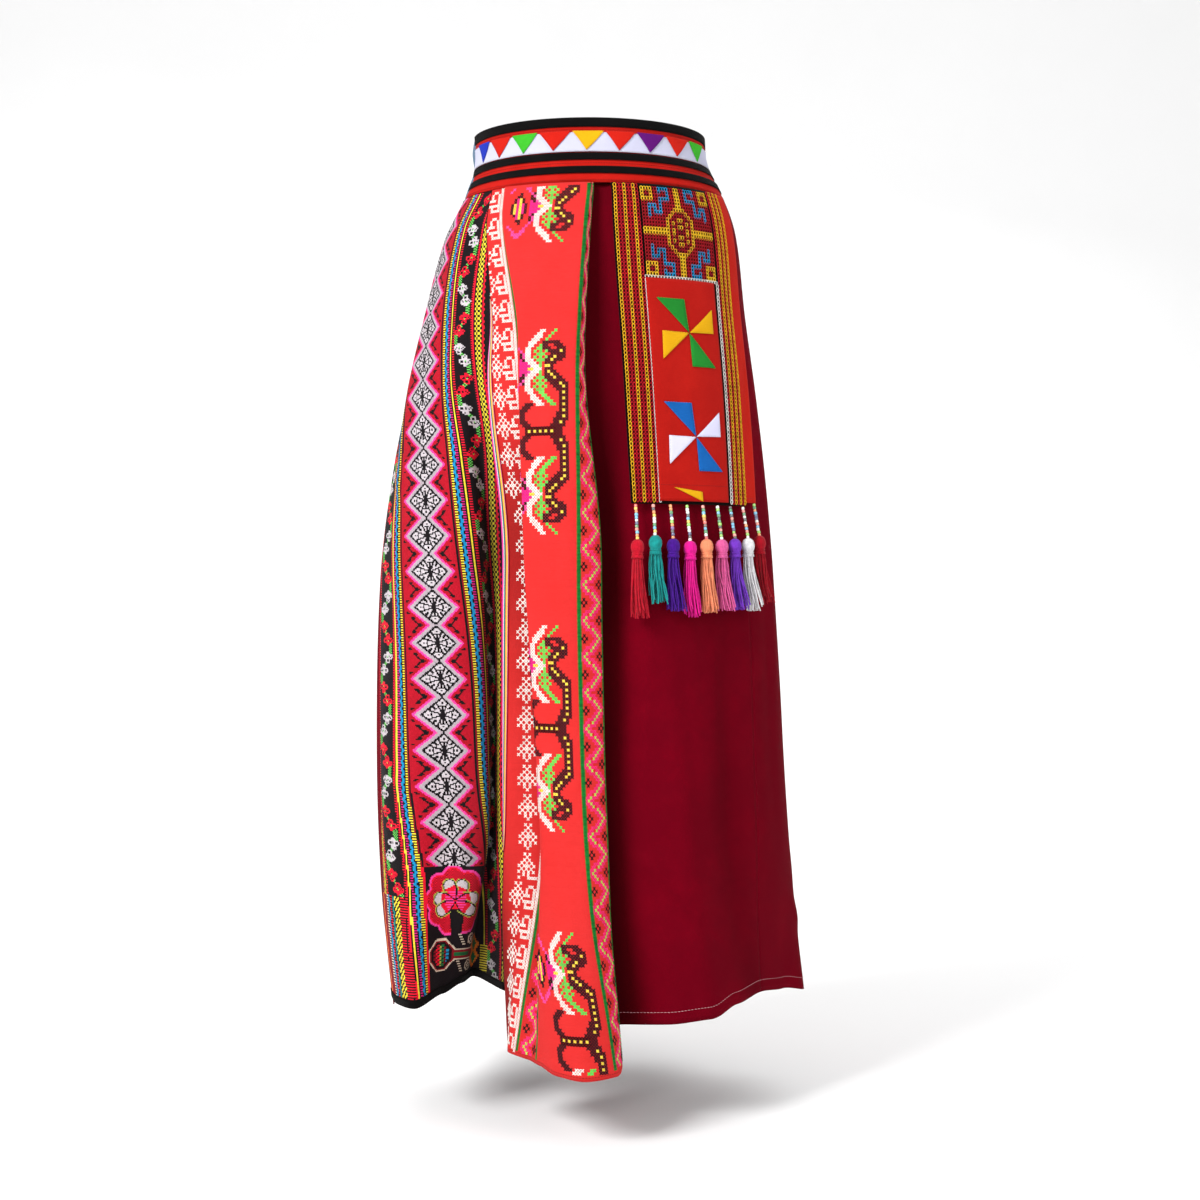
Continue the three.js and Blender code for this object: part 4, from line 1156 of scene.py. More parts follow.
    # The wide border at the foot
    foot = (v > 681) & (x > -30) & (x < 45)
    put(foot, "black")
    px, py = x - 1, v - 716
    away, angle = np.hypot(px, py / 1.08), np.arctan2(-py, px)
    edge = 27.5 * (1 + 0.15 * np.abs(np.sin(4.5 * angle + 0.4)))
    put(foot & (away < edge + 2.2), "pink")
    put(foot & (away < edge), "red")
    put(foot & (away < edge - 1.5) & (away > 17) & ((row + np.floor(x / LEFT_CELL)) % 2 == 0), "deep")
    put(foot & (np.abs(px - 2) < 8 - (py - 8) * 0.12) & (py > 9) & (away < edge + 3), "black")
    # Six petals of the medallion, by the angle that each leans to
    for lean_to in (67, 113, 8, -34, 172, 214):
        c, s = math.cos(math.radians(lean_to)), -math.sin(math.radians(lean_to))
        on, side = px * c + py * s, np.abs(px * s - py * c)
        heart = side < 0.2 + on * 0.46
        blunt = np.hypot(np.maximum(on - 17.0, 0) * 1.1, side)
        petal = foot & (on > 0)
        put(petal & (blunt < 7.6) & (on > 8) & (blunt > 6.6), "moss")
        put(petal & (blunt < 6.6) & (side < 1.5 + on * 0.5), "black")
        put(petal & (blunt < 5.5) & heart, "white")
        put(petal & (blunt < 5.5) & heart & (on < 15.0), "red")
        put(petal & heart & (on < 11) & (row % 2 == 0), "pink")
    # The octagon under it, its neck, curls and leaves
    px, py = x + 13, v - 771
    side8 = np.maximum(np.maximum(np.abs(px), np.abs(py)), (np.abs(px) + np.abs(py)) / 1.36)
    put(foot & (side8 < 16.5), "cream")
    put(foot & (side8 < 15), "deep")
    put(foot & (side8 < 13.4), "black")
    for k, name in enumerate(("deep", "red", "red", "moss", "green", "deep", "blue")):
        here = foot & (side8 < 10.5) & (np.floor((px + 9.5) / 2.7) == k)
        put(here & ((row + k) % 3 > 0), name)
    neck = foot & (np.abs(py) < 5.5) & (px > 15) & (px < 36)
    put(neck, "cream")
    put(neck & (np.abs(py) < 4.3), "deep")
    put(neck & (np.abs(py) < 2) & (px < 31), "green")
    for cy in (-15, 13):
        ring_at = np.hypot(px - 33, (py - cy))
        put(foot & (np.abs(ring_at - 5) < 0.9) & (px > 28), "cream")
        put(foot & (np.abs(ring_at - 1.7) < 0.9), "cream")
        put(foot & (np.abs(px - 22 - (py - cy) * 0.4) < 1.6) & (np.abs(py - cy) < 7) & (row % 2 == 0), "cream")
    put(foot & (np.abs(px - 44) < 9 - np.abs(np.abs(py) - 6) * 0.7) & (np.abs(py) < 18) & (px > 34), "orange")
    put(foot & (np.abs(px - 45) < 5 - np.abs(np.abs(py) - 7) * 0.7) & (np.abs(py) < 14) & (px > 36), "green")
    put((v > 681) & (x < -30) & (x > -33), "red")
    inner_foot = (v > 765) & (x > 41) & (x < 52)
    put(inner_foot & (row % 2 == 0), "yellow")
    put(inner_foot & (row % 2 == 1), "black")
    # Stripes at the foot of the outer half: from, to, colour, ground, and kind (waves, dashes or slants)
    low = (v > 712) & (x > -109) & (x < -53)
    stripes = (
        (-109, -86, "orange", "deep", 0), (-86, -82, "cream", "black", 2), (-82, -78, "blue", "black", 0),
        (-78, -74, "red", "black", 2), (-74, -69, "teal", "black", 1), (-69, -60, "yellow", "black", 3),
        (-60, -53, "red", "black", 2),
    )
    for a, b, name, other, kind in stripes:
        band = low & (x >= a) & (x < b)
        put(band, other)
        if kind < 2:
            swing, period, thick = ((1.6, 12, 1.6), (1.2, 7, 1.3))[kind]
            put(band & (np.abs(x - (a + b) / 2 - swing * (wave(period) * 2 - 1)) < thick), name)
        elif kind == 2:
            put(band & (row % 2 == 0), name)
        else:
            put(band & ((v + 1.2 * x) % 6 < 3), name)
    return out, names


# Chart of the flap's upper square: a quarter of it, mirrored to both sides

KEYS = [
    "yyyy..bbbb..y",
    "y.ry..b..b..y",
    "yr.y.....b..y",
    "yyyy..bbbb..y",
    "......b.....y",
    "..bbb.b.....y",
    "..b.b.b....yy",
    "..b.bbb...y.r",
    "..b......y.r.",
    "........y.r.y",
    "........y.y.r",
    "........y.r.y",
    "yyyyyyyyy.y.r",
]
CHAIN = {".": "#a80c1c", "b": "#1b97cf", "y": "#f6c526", "r": "#8a0a1c"}
CHAIN_LEFT = "yrryrryrw"
CHAIN_RIGHT = "wryryry"
CHAIN_COLOURS = {"y": "#f2b91c", "r": "#bf1022", "w": "#f1ece6"}


# Settings


class SkirtSizes(bpy.types.PropertyGroup):
    cloth_wall: FloatProperty(
        name="Cloth thickness", description="Thickness of the skirt's cloths", default=1.2 * MM, unit="LENGTH")
    stitch: FloatProperty(
        name="Stitch", description="Pitch of the cross-stitches", default=2.9 * MM, unit="LENGTH")
    bead: FloatProperty(
        name="Bead", description="Width of a bead on the strings", default=3.3 * MM, unit="LENGTH")
    yarns: IntProperty(
        name="Yarns", description="Yarns in each tassel", default=38, min=12, max=60)


class SkirtColours(bpy.types.PropertyGroup):
    front: FloatVectorProperty(
        name="Front panel", description="Red of the cross-stitched panel", subtype="COLOR", default=linear("#d83a3c"))
    maroon: FloatVectorProperty(
        name="Maroon", description="Colour of the plain panels", subtype="COLOR", default=linear("#90001a"))
    band: FloatVectorProperty(
        name="Waistband", description="Red of the waistband", subtype="COLOR", default=linear("#ee3432"))


def hexed(colour):
    """Hex value of a scene-linear colour."""
    srgb = [c * 12.92 if c <= 0.0031308 else 1.055 * c ** (1 / 2.4) - 0.055 for c in colour]
    return "#" + "".join(f"{int(round(255 * min(1, max(0, c)))):02x}" for c in srgb)


# Pieces


class SKIRT_OT_panels(bpy.types.Operator):
    """The five cloth panels of the skirt."""

    bl_idname = "skirt.panels"
    bl_label = "Panels"

    def execute(self, context):
        sizes, colours = context.scene.skirt_sizes, context.scene.skirt_colours
        wall = sizes.cloth_wall / MM
        red = finish("red_linen", woven, hexed(colours.front), "#cc2c2a", 1.5, slub=0.5, relief=0.4, ripple=7.0)
        black = finish("black_linen", woven, "#1c1416", "#0c090a", 1.5, slub=0.4)
        maroon = finish(
            "maroon_cotton", woven, hexed(colours.maroon), "#640012", 0.8, sheen=0.0, worn=0.08, ripple=3.0)
        panels = (
            ("left_cloth", LEFT, 64, 150, black, "panel_left"),
            ("front_cloth", FRONT_CLOTH, 120, 160, red, "panel_front"),
            ("right_cloth", RIGHT, 70, 150, maroon, "panel_right"),
            ("back_right_cloth", BACK_RIGHT, 100, 150, maroon, "panel_back_right"),
            ("back_left_cloth", BACK_LEFT, 86, 150, maroon, "panel_back_left"),
        )
        for name, cloth, columns, rows, material, node in panels:
            piece = dress(cloth_shell(name, cloth, columns, rows, wall), material, node)
            width, length, area = flat_area(cloth)
        binding = folded_edge("hem_fold", LEFT, 64, above_hem(8.7), -1, 8, 0.9, 0.8)
        dress(binding, finish("black_binding", woven, "#1a1718", "#0b0a0a", 0.7), "hem_binding")
        cut(binding)
        return {"FINISHED"}


class SKIRT_OT_waistband(bpy.types.Operator):
    """The waistband, its binding, strip and tapes."""

    bl_idname = "skirt.waistband"
    bl_label = "Waistband"

    def execute(self, context):
        red = finish("band_red", woven, hexed(context.scene.skirt_colours.band), "#b01810", 0.9, slub=0.3, worn=0.08)
        cut(dress(cloth_shell("band_cloth", BAND, 160, 16, 1.6), red, "waistband_front"))
        # A plain facing inside the band's lower edge
        inset, facing_top, facing_foot = -7.6, -22.0, -44.0
        facing = Cloth(
            lambda a, z: ring(a, inset, z), *BAND_FRONT, facing_top, level(facing_foot), 121, hold=4.0)
        inside = cloth_shell("band_facing", facing, 100, 6, 0.8)
        inside.data.materials.append(finish("facing_red", woven, "#7a1016", "#4e0a10", 0.9))
        cut(joined_to(inside))
        blue = finish("chambray", woven, "#8b9fb4", "#5f7388", 0.7, slub=0.5)
        cut(dress(cloth_shell("gathered_band", GATHERED, 560, 22, 1.2), blue, "waistband_back"))
        black = finish("black_binding", woven, "#1a1718", "#0b0a0a", 0.7)
        cut(dress(folded_edge("top_fold", BAND, 160, level(33.4), 1, 9, 1.1, 0.8), black, "top_binding"))
        white = finish("white_cotton", woven, "#d8d8ea", "#bcbcd2", 0.7, slub=0.3)
        cut(dress(cloth_shell("white_strip", BAND, 160, 10, 0.6, lift=1.75, top=18.9, bottom=-1), white,
                  "triangle_strip"))
        tape = finish("black_tape", woven, "#1c1a1b", "#0a0909", 0.6, relief=0.35)
        shows = 7.5
        for name, top, node in (("first_tape", -2.0, "upper_tape"), ("second_tape", -16.0, "lower_tape")):
            piece = cloth_shell(name, BAND, 160, 6, 0.8, lift=1.85, top=top, bottom=top - shows)
            cut(dress(piece, tape, node), share=shows / SMALLEST_SIDE)
        return {"FINISHED"}


class SKIRT_OT_flap(bpy.types.Operator):
    """The hanging flap: its ground, side strip and centre."""

    bl_idname = "skirt.flap"
    bl_label = "Flap"

    def execute(self, context):
        ground = finish("flap_ground", woven, "#1c0a08", "#0c0504", 1.2)
        piece = cloth_shell("flap_ground_cloth", FLAP, 60, 90, 1.2, last=FLAP_GROUND_EDGE)
        cut_part(dress(piece, ground, "flap_cloth"), FLAP, 0.0, FLAP_GROUND_EDGE, FLAP_BOTTOM)
        strip = finish("strip_red", woven, "#e2361f", "#b81c12", 0.9, worn=0.08)
        piece = cloth_shell("side_strip", FLAP, 14, 90, 1.2, first=SIDE_STRIP_EDGE, bottom=SIDE_STRIP_BOTTOM)
        dress(piece, strip, "flap_side_strip")
        cut_part(piece, FLAP, SIDE_STRIP_EDGE, 1.0, SIDE_STRIP_BOTTOM)
        centre = finish("centre_red", woven, "#d8281c", "#a51610", 0.9)
        first, last = CENTRE_EDGES
        piece = cloth_shell(
            "flap_centre_cloth", FLAP, 36, 60, 0.7, lift=1.45, first=first, last=last, top=CENTRE_TOP,
            bottom=CENTRE_BOTTOM)
        at = np.array((CENTRE_TOP + CENTRE_BOTTOM) / 2)
        width = float(FLAP.u_of(np.array(last), at) - FLAP.u_of(np.array(first), at))
        cut(dress(piece, centre, "flap_centre"))
        return {"FINISHED"}


class SKIRT_OT_front_stitches(bpy.types.Operator):
    """Cross-stitch of the front panel."""

    bl_idname = "skirt.front_stitches"
    bl_label = "Front cross-stitch"

    def execute(self, context):
        pitch = context.scene.skirt_sizes.stitch / MM
        cotton = finish("stranded_cotton", threads_finish)
        cross, bar = cross_template(), bar_template()
        rows = front_stitches(pitch)
        for group, seed in (("right_chevron", 3), ("strip", 4), ("field", 5)):
            part = [r for r in rows if r[3] == group]
            x, v = np.array([r[0] for r in part]), np.array([r[1] for r in part])
            colours = np.array([linear(r[2]) for r in part])
            u, z, keep, squeeze = front_places(x, v, group)
            u, z, colours = u[keep], z[keep], uneven(colours[keep], seed, 0.07)
            p, right, up, out = FRONT_CLOTH.frame_at(u, z, 0.65)
            full = np.where(colours.sum(axis=1) < 0.12, 1.22, 1.04)
            size = np.stack([squeeze[keep] * full, pitch * full, np.full(len(p), pitch)], axis=1)
            joined_to(repeated(f"{group}_stitches", cross, p, right, up, out, size, colours, cotton))
        step = 1.25
        v = np.arange(1.5, STITCHED_LENGTH, step)
        # Lines of green satin stitch: place across, width and group
        lines = (
            (WHITE_LINE + 3.4, 3.2, "strip"), (WHITE_LINE + 37.0, 3.4, "strip"), (0.0, 4.6, "field"),
            (1.02, 2.6, "right_chevron"),
        )
        for k, (x, width, group) in enumerate(lines):
            u, z, keep, _ = front_places(np.full_like(v, x), v, group)
            p, right, up, out = FRONT_CLOTH.frame_at(u[keep], z[keep], 0.6)
            size = np.tile((width, step * 1.3, 2.4), (len(p), 1))
            colours = uneven(np.tile(linear(DARK_GREEN), (len(p), 1)), 6 + k, 0.14)
            joined_to(repeated(f"green_satin_{k + 1}", bar, p, right, up, out, size, colours, cotton))
        bpy.data.objects.remove(cross)
        bpy.data.objects.remove(bar)
        return {"FINISHED"}


class SKIRT_OT_left_stitches(bpy.types.Operator):
    """Embroidery of the left panel, worked cell by cell over its black ground."""

    bl_idname = "skirt.left_stitches"
    bl_label = "Left embroidery"

    def execute(self, context):
        rows = 636
        x_line = np.concatenate([
            np.linspace(-109.0, -32.0, 50)[:-1], np.linspace(-32.0, 32.0, 61)[:-1], np.linspace(32.0, 98.0, 44)])
        x = (x_line[1:] + x_line[:-1]) / 2
        v = (np.arange(rows) + 0.5) * LEFT_CELL
        across, down = np.meshgrid(x, v)
        chart, names = left_panel_chart(np.where(across < 0, across / OUTER_STRETCH(down), across), down)
        columns = len(x)
        z = (WAIST_LINE - 0.5 - np.arange(rows + 1) * LEFT_CELL)[:, None]
        flat_x, z = np.broadcast_arrays(x_line[None, :], z)
        u = LEFT_MIDDLE(WAIST_LINE - z) + flat_x
        margin, end = 0.3, LEFT.width(z) - 0.3
        inside = (u > margin) & (u < end)
        t = LEFT.t_of(np.clip(u, margin, end), z)
        z = np.maximum(z, LEFT.bottom(t) + 0.4)
        p = LEFT.point(t, z, 0.95)
        cells = grid_quads(rows + 1, columns + 1)
        # Cells that the hem or the seams squeeze flat are left out
        corner_z = z.ravel()[cells]
        keep = (corner_z.max(axis=1) - corner_z.min(axis=1) > 0.7) & inside.ravel()[cells].any(axis=1)
        piece = put_object("left_embroidery", p.reshape(-1, 3), cells[keep].tolist())
        give_uv(piece, np.stack([flat_x, z], axis=-1).reshape(-1, 2))
        colours = palette(names, LEFT_COLOURS)[chart.ravel()[keep]]
        give_face_colours(piece, uneven(colours, 8, 0.07))
        # The valley of every cell drives the painted shade of the needlework
        give_fold_shade(piece, valley(t, z).ravel())
        joined_to(piece)
        piece.data.materials.append(finish("needlework", needlework))
        return {"FINISHED"}


def needlework(name):
    """Dense embroidery: small crossed threads in relief over coloured cells, with painted shade deep in the skirt's
    folds.
    """
    work = Finish(name, 0.72, sheen=0.02, specular=0.1)
    u, v = work.flat()
    turn = 2 * math.pi / (LEFT_CELL * MM)
    slant = ((u + v) * (turn * 0.5)).sine().size() * ((u - v) * (turn * 0.5)).sine().size()
    fibres = work.noise(1100.0, 2.0)
    cloudy = work.noise(45.0, 4.0)
    colour = work.colour_from("thread")
    dark = work.mix(0.6, colour, (0.0, 0.0, 0.0))
    lit = work.mix((fibres * 0.9 + cloudy * 0.6 + slant * -0.35 + 0.25).limited(), dark, colour)
    # Painted shade: the deeper a place lies in the skirt's folds, the nearer the work goes to black
    work.paint(work.mix((work.value_from("valley") * 0.6).limited(), lit, (0.004, 0.002, 0.003)))
    work.roughen(fibres * 0.25 + 0.6)
    work.bump(fibres * 0.6 - slant * 0.9, 0.3 * MM, 0.6)
    return work.material


class SKIRT_OT_ribbon(bpy.types.Operator):
    """The woven ribbon over the seam beside the left panel."""

    bl_idname = "skirt.ribbon"
    bl_label = "Ribbon"

    def execute(self, context):
        stripes = ["#ff50b0", "#e8309a", "#ffd8e6", "#1c9c90", "#26404e", "#ff9c54", "#ffe23c", "#ee7a90"]
        rows, top, length = 180, -150, 550
        s = np.linspace(0, 1, rows)
        z = top - length * s
        width = 0.6 + 6.9 * np.sin(np.pi * s) ** 0.6
        start = FRONT_CLOTH.u_of(np.full(rows, 6.0), z) + 0.4
        share = np.linspace(0, 1, len(stripes) + 1)
        u = start[:, None] + width[:, None] * share[None, :]
        zz = np.broadcast_to(z[:, None], u.shape)
        crown = 0.35 * np.sin(np.pi * share)[None, :]
        outer = FRONT_CLOTH.at(u, zz, 2.3 + crown)
        inner = FRONT_CLOTH.at(u, zz, 1.8 + crown)
        piece = shell("ribbon_cloth", outer, inner, np.stack([u - start[:, None], zz], axis=-1))
        base = np.array([linear(c) for c in stripes])
        sides = np.tile(base, (2 * (rows - 1), 1))
        rim = np.tile(base[0], (len(piece.data.polygons) - len(sides), 1))
        give_face_colours(piece, np.concatenate([sides, rim]))
        dress(piece, finish("ribbon_silk", threads_finish, 0.5, 0.02, 1400.0, 0.15), "ribbon")
        cut(piece, share=float(width.mean()) / SMALLEST_SIDE)
        return {"FINISHED"}


def flap_place(a, z):
    """Arc along the flap for a share of its width."""
    return a * FLAP.width(z)


class SKIRT_OT_flap_stitches(bpy.types.Operator):
    """Chain stitch of the flap and the key pattern of its upper square."""

    bl_idname = "skirt.flap_stitches"
    bl_label = "Flap chain stitch"

    def execute(self, context):
        cotton = finish("stranded_cotton", threads_finish)
        loop = loop_template()
        # Stitches as share of the flap's width, height, colour, and 1 where they lie level
        places = []
        pitch, chains = 3.9, ((CHAIN_LEFT, 0.012, 0.193), (CHAIN_RIGHT, SQUARE_EDGES[1], 0.155))
        for z in np.arange(-36.5, -354.5, -pitch):
            for marks, start, width in chains:
                for k, c in enumerate(marks):
                    if c != "w" or z < CENTRE_TOP:
                        places.append((start + width * (k + 0.5) / len(marks), z, CHAIN_COLOURS[c], 0))
        for a in np.arange(SQUARE_EDGES[0], 0.74, 0.022):
            places.append((a, -130.0, CHAIN_COLOURS["w"], 1))
        n = 2 * len(KEYS)
        side, drop = (SQUARE_EDGES[1] - SQUARE_EDGES[0]) / n, SQUARE_DROP / n
        for r in range(n):
            for c in range(n):
                mark = KEYS[min(r, n - 1 - r)][min(c, n - 1 - c)]
                places.append((SQUARE_EDGES[0] + side * (c + 0.5), SQUARE_TOP - drop * (r + 0.5), CHAIN[mark], 0))
        a, z = np.array([p[0] for p in places]), np.array([p[1] for p in places])
        colours = uneven(np.array([linear(p[2]) for p in places]), 11, 0.1)
        flat = np.array([p[3] for p in places])
        p, right, up, out = FLAP.frame_at(flap_place(a, z), z, 0.75)
        lying = flat[:, None] == 1
        right, up = np.where(lying, up, right), np.where(lying, -right, up)
        size = np.tile((4.2, 4.1, 2.4), (len(p), 1))
        joined_to(repeated("flap_chains", loop, p, right, up, out, size, colours, cotton))
        bpy.data.objects.remove(loop)
        return {"FINISHED"}


def patch_shell(name, cloth, u0, z0, corners, lift, puff=0.5, parts=10):
    """A small three-cornered patch, a little puffed between its turned edges."""
    corners = np.array([*corners, corners[-1]], float)
    i, j = np.meshgrid(np.linspace(0, 1, parts + 1), np.linspace(0, 1, parts + 1), indexing="ij")
    flat = (
        corners[0] * ((1 - i) * (1 - j))[..., None] + corners[1] * (i * (1 - j))[..., None]
        + corners[2] * (i * j)[..., None] + corners[3] * ((1 - i) * j)[..., None]
    )
    edge = np.minimum(np.minimum(i, 1 - i), np.minimum(j, 1 - j)) * 2
    height = PATCH_WALL / 2 + puff * smooth(edge * 2.2)
    u, z = u0 + flat[..., 0], z0 + flat[..., 1]
    outer = cloth.at(u, z, lift + height)
    inner = cloth.at(u, z, lift - PATCH_WALL / 2)
    if np.cross(corners[1] - corners[0], corners[2] - corners[0]) > 0:
        outer, inner, flat = outer[:, ::-1], inner[:, ::-1], flat[:, ::-1]
    return weld(shell(name, outer, inner, flat))


def weld(piece, distance=0.00002):
    """Joins the doubled points of a piece that ends in a corner."""
    made = bmesh.new()
    made.from_mesh(piece.data)
    bmesh.ops.remove_doubles(made, verts=made.verts, dist=distance)
    bmesh.ops.dissolve_degenerate(made, dist=1e-7, edges=made.edges)
    bmesh.ops.recalc_face_normals(made, faces=made.faces)
    made.to_mesh(piece.data)
    made.free()
    return piece


# Corners of the blades from the middle of a pinwheel (mm)
BLADES = (
    ((0, 0), (-3, 34), (-34, 34)), ((0, 0), (30, 1), (30, 26)),
    ((0, 0), (1, -34), (30, -34)), ((0, 0), (-30, 1), (-31, -28)),
)
WHEELS = (
    ("upper", -185.0, ("green", "yellow", "green", "yellow")), ("lower", -289.0, ("blue", "lilac", "blue", "lilac")),
)
LOW_PATCH = ((-27, 4.5), (4, 0.5), (4, -9))
# Angles at which the band's triangles meet, and their colours
TRIANGLE_ANGLES = (-73.3, -61.4, -45.9, -29.6, -10.3, 8.7, 26.9, 44.3, 60.6, 75.4)
TRIANGLE_COLOURS = ("royal", "red", "leaf", "red", "yellow", "red", "purple", "red", "leaf")
TRIANGLE_TOP, TRIANGLE_TIP, TRIANGLE_GAP = 20.0, 0.2, 0.4
PATCH_FINISHES = {
    "green": ("#35ab3c", "#1f7a2a"), "yellow": ("#f8ca1c", "#d49c12"), "blue": ("#2280dc", "#1658a0"),
    "lilac": ("#f0effc", "#d2d0ea"), "royal": ("#3040d0", "#2030a0"), "red": ("#e8301f", "#b81c12"),
    "leaf": ("#56d83a", "#38a428"), "purple": ("#7c1c90", "#561268"),
}


def patch_finish(colour):
    """Fine cotton of a patch."""
    return finish(f"{colour}_cotton", woven, *PATCH_FINISHES[colour], 0.8, 0.8, 0.03, 0.22)


class SKIRT_OT_patches(bpy.types.Operator):
    """Cloth patches: the pinwheels, the low patch and the triangles of the waistband."""

    bl_idname = "skirt.patches"
    bl_label = "Patches"

    def execute(self, context):
        edges = []
        for wheel, z0, colours in WHEELS:
            u0 = float(flap_place(WHEEL_MIDDLE, np.array(z0)))
            for k, (corners, colour) in enumerate(zip(BLADES, colours)):
                middle = np.mean(corners, axis=0)
                drawn = [tuple(np.array(c) + 0.02 * (middle - c)) for c in corners]
                piece = patch_shell(f"{wheel}_blade_{k + 1}", FLAP, u0, z0, drawn, PATCH_LIFT)
                self.sew_on(piece, colour, f"pinwheel_{wheel}_{k + 1}", drawn, "flap_centre")
                edges.append((FLAP, u0, z0, drawn, 3.0, PATCH_FINISHES[colour][0]))
        u0 = float(flap_place(WHEEL_MIDDLE, np.array(LOW_PATCH_HEIGHT)))
        piece = patch_shell("low_patch", FLAP, u0, LOW_PATCH_HEIGHT, LOW_PATCH, PATCH_LIFT)
        self.sew_on(piece, "yellow", "flap_low_patch", LOW_PATCH, "flap_centre")
        edges.append((FLAP, u0, LOW_PATCH_HEIGHT, LOW_PATCH, 3.0, "#f2c01e"))
        for k, colour in enumerate(TRIANGLE_COLOURS):
            ends = TRIANGLE_ANGLES[k] + TRIANGLE_GAP, TRIANGLE_ANGLES[k + 1] - TRIANGLE_GAP
            ua, ub = (float(BAND.u_of(np.array(q), np.array(TRIANGLE_TOP))) for q in ends)
            um = (ua + ub) / 2
            corners = ((ua - um, 0), (0, TRIANGLE_TIP - TRIANGLE_TOP), (ub - um, 0))
            piece = patch_shell(f"band_patch_{k + 1}", BAND, um, TRIANGLE_TOP, corners, BAND_PATCH_LIFT, puff=0.35)
            self.sew_on(piece, colour, f"band_triangle_{k + 1}", corners, "triangle_strip")
            edges.append((BAND, um, TRIANGLE_TOP, corners, 3.2, PATCH_FINISHES[colour][0]))
        self.sew_edges(edges)
        return {"FINISHED"}

    def sew_on(self, piece, colour, node, corners, rests):
        """Gives a three-cornered patch its finish and body, hides its node, and works out how much it fills of its
        longest side by its height.
        """
        dress(piece, patch_finish(colour), node)
        a, b, c = (np.array(k, float) for k in corners)
        longest = max(float(np.linalg.norm(q)) for q in (b - a, c - b, a - c))
        area = abs(float(np.cross(b - a, c - a))) / 2
        high = max(SMALLEST_SIDE, 2 * area / longest)
        cut(piece, area / (longest * high))

    def sew_edges(self, edges):
        """Small hem stitches round every patch."""
        bar = bar_template()
        groups = {}
        for cloth, u0, z0, corners, lift, colour in edges:
            corners = np.array(corners, float)
            middle = corners.mean(axis=0)
            for a, b in zip(corners, np.roll(corners, -1, axis=0)):
                length = np.linalg.norm(b - a)
                for s in np.arange(2.0, length - 1.0, 3.0):
                    at = a + (b - a) * s / length
                    at = at + (middle - at) / max(np.linalg.norm(middle - at), 1e-6) * 0.5
                    groups.setdefault(id(cloth), (cloth, []))[1].append(
                        (u0 + at[0], z0 + at[1], lift, colour, (b - a) / length))
        for n, (cloth, rows) in enumerate(groups.values()):
            u, z = np.array([r[0] for r in rows]), np.array([r[1] for r in rows])
            p, right, up, out = cloth.frame_at(u, z, 0.0)
            p = p + out * np.array([r[2] for r in rows])[:, None] - out * 0.3
            along = np.array([r[4] for r in rows])
            new_right = right * along[:, :1] + up * along[:, 1:]
            new_up = np.cross(out, new_right)
            colours = uneven(np.array([linear(r[3]) for r in rows]) * 0.8, 20 + n, 0.08)
            piece = repeated(f"patch_hems_{n + 1}", bar, p, new_right, new_up, out, (1.7, 0.7, 1.0), colours,
                             finish("stranded_cotton", threads_finish))
            joined_to(piece)
        bpy.data.objects.remove(bar)


class SKIRT_OT_seams(bpy.types.Operator):
    """Lines of plain running stitch along hems, seams and bindings."""

    bl_idname = "skirt.seams"
    bl_label = "Seam stitches"

    def execute(self, context):
        bar = bar_template()
        back, fold, cotton = above_hem(12), "#c98a92", finish("stranded_cotton", threads_finish)
        # Name, cloth, slot, colour, pitch, height, distance off the cloth, and limits where it isn't the whole width
        lines = (
            ("right_hem_stitches", RIGHT, "panel_right", "#d9a0a6", 3.4, back, 0.75),
            ("back_right_hem_stitches", BACK_RIGHT, "panel_back_right", fold, 3.4, back, 0.75),
            ("back_left_hem_stitches", BACK_LEFT, "panel_back_left", fold, 3.4, back, 0.75),
            ("front_hem_stitches", FRONT_CLOTH, "panel_front", "#8c1a14", 3.0, above_hem(3.4, CHANGED_HEMS), 0.7),
            ("band_upper_stitches", BAND, "waistband_front", "#b01a14", 2.6, level(22.3), 1.1),
            ("band_lower_stitches", BAND, "waistband_front", "#8c1410", 2.6, level(-12.7), 1.1),
            ("band_foot_stitches", BAND, "waistband_front", "#8c1410", 2.6, level(-30.6), 1.1),
            ("strip_upper_stitches", BAND, "triangle_strip", "#a81812", 2.4, level(20.6), 2.1),
            ("strip_lower_stitches", BAND, "triangle_strip", "#cfcac0", 2.4, level(-0.3), 2.1),
            ("side_strip_stitches", FLAP, "flap_side_strip", "#a81a12", 2.8, level(-347.5), 0.7, 0.892, 0.99),
            ("flap_centre_stitches", FLAP, "flap_centre", "#8f140e", 2.8, level(-337.0), 1.85, 0.21, 0.72),
        )
        for k, (name, cloth, slot, colour, step, height, lift, *limits) in enumerate(lines):
            t = np.linspace(*(limits or (cloth.first, cloth.last)), 2400)
            z = height(t)
            p = cloth.point(t, z, lift)
            run = np.concatenate([[0], np.cumsum(np.linalg.norm(np.diff(p, axis=0), axis=1))])
            at = np.interp(np.arange(1.5, run[-1] - 1, step), run, t)
            z = height(at)
            u = cloth.u_of(at, z)
            p, right, up, out = cloth.frame_at(u, z, lift)
            colours = uneven(np.tile(linear(colour), (len(p), 1)), 40 + k, 0.08)
            joined_to(repeated(name, bar, p, right, up, out, (step * 0.72, 0.6, 0.9), colours, cotton))
        bpy.data.objects.remove(bar)
        return {"FINISHED"}


def lathe(outline, around, ripple, ridges, centre):
    """A closed turned shape about an upright axis, its sides ridged like wound yarn."""
    points, faces = [], []
    for k in range(around):
        a = 2 * math.pi * k / around
        for r, h in outline:
            grow = 1 + ripple * math.cos(ridges * a + 0.35 * h) if r > 0.5 else 1
            points.append((centre[0] + r * grow * math.cos(a), centre[1] + r * grow * math.sin(a), centre[2] + h))
    n = len(outline)
    for k in range(around):
        m = (k + 1) % around
        for j in range(n - 1):
            faces.append((k * n + j, m * n + j, m * n + j + 1, k * n + j + 1))
    faces.append(tuple(k * n for k in range(around))[::-1])
    faces.append(tuple(k * n + n - 1 for k in range(around)))
    return points, faces


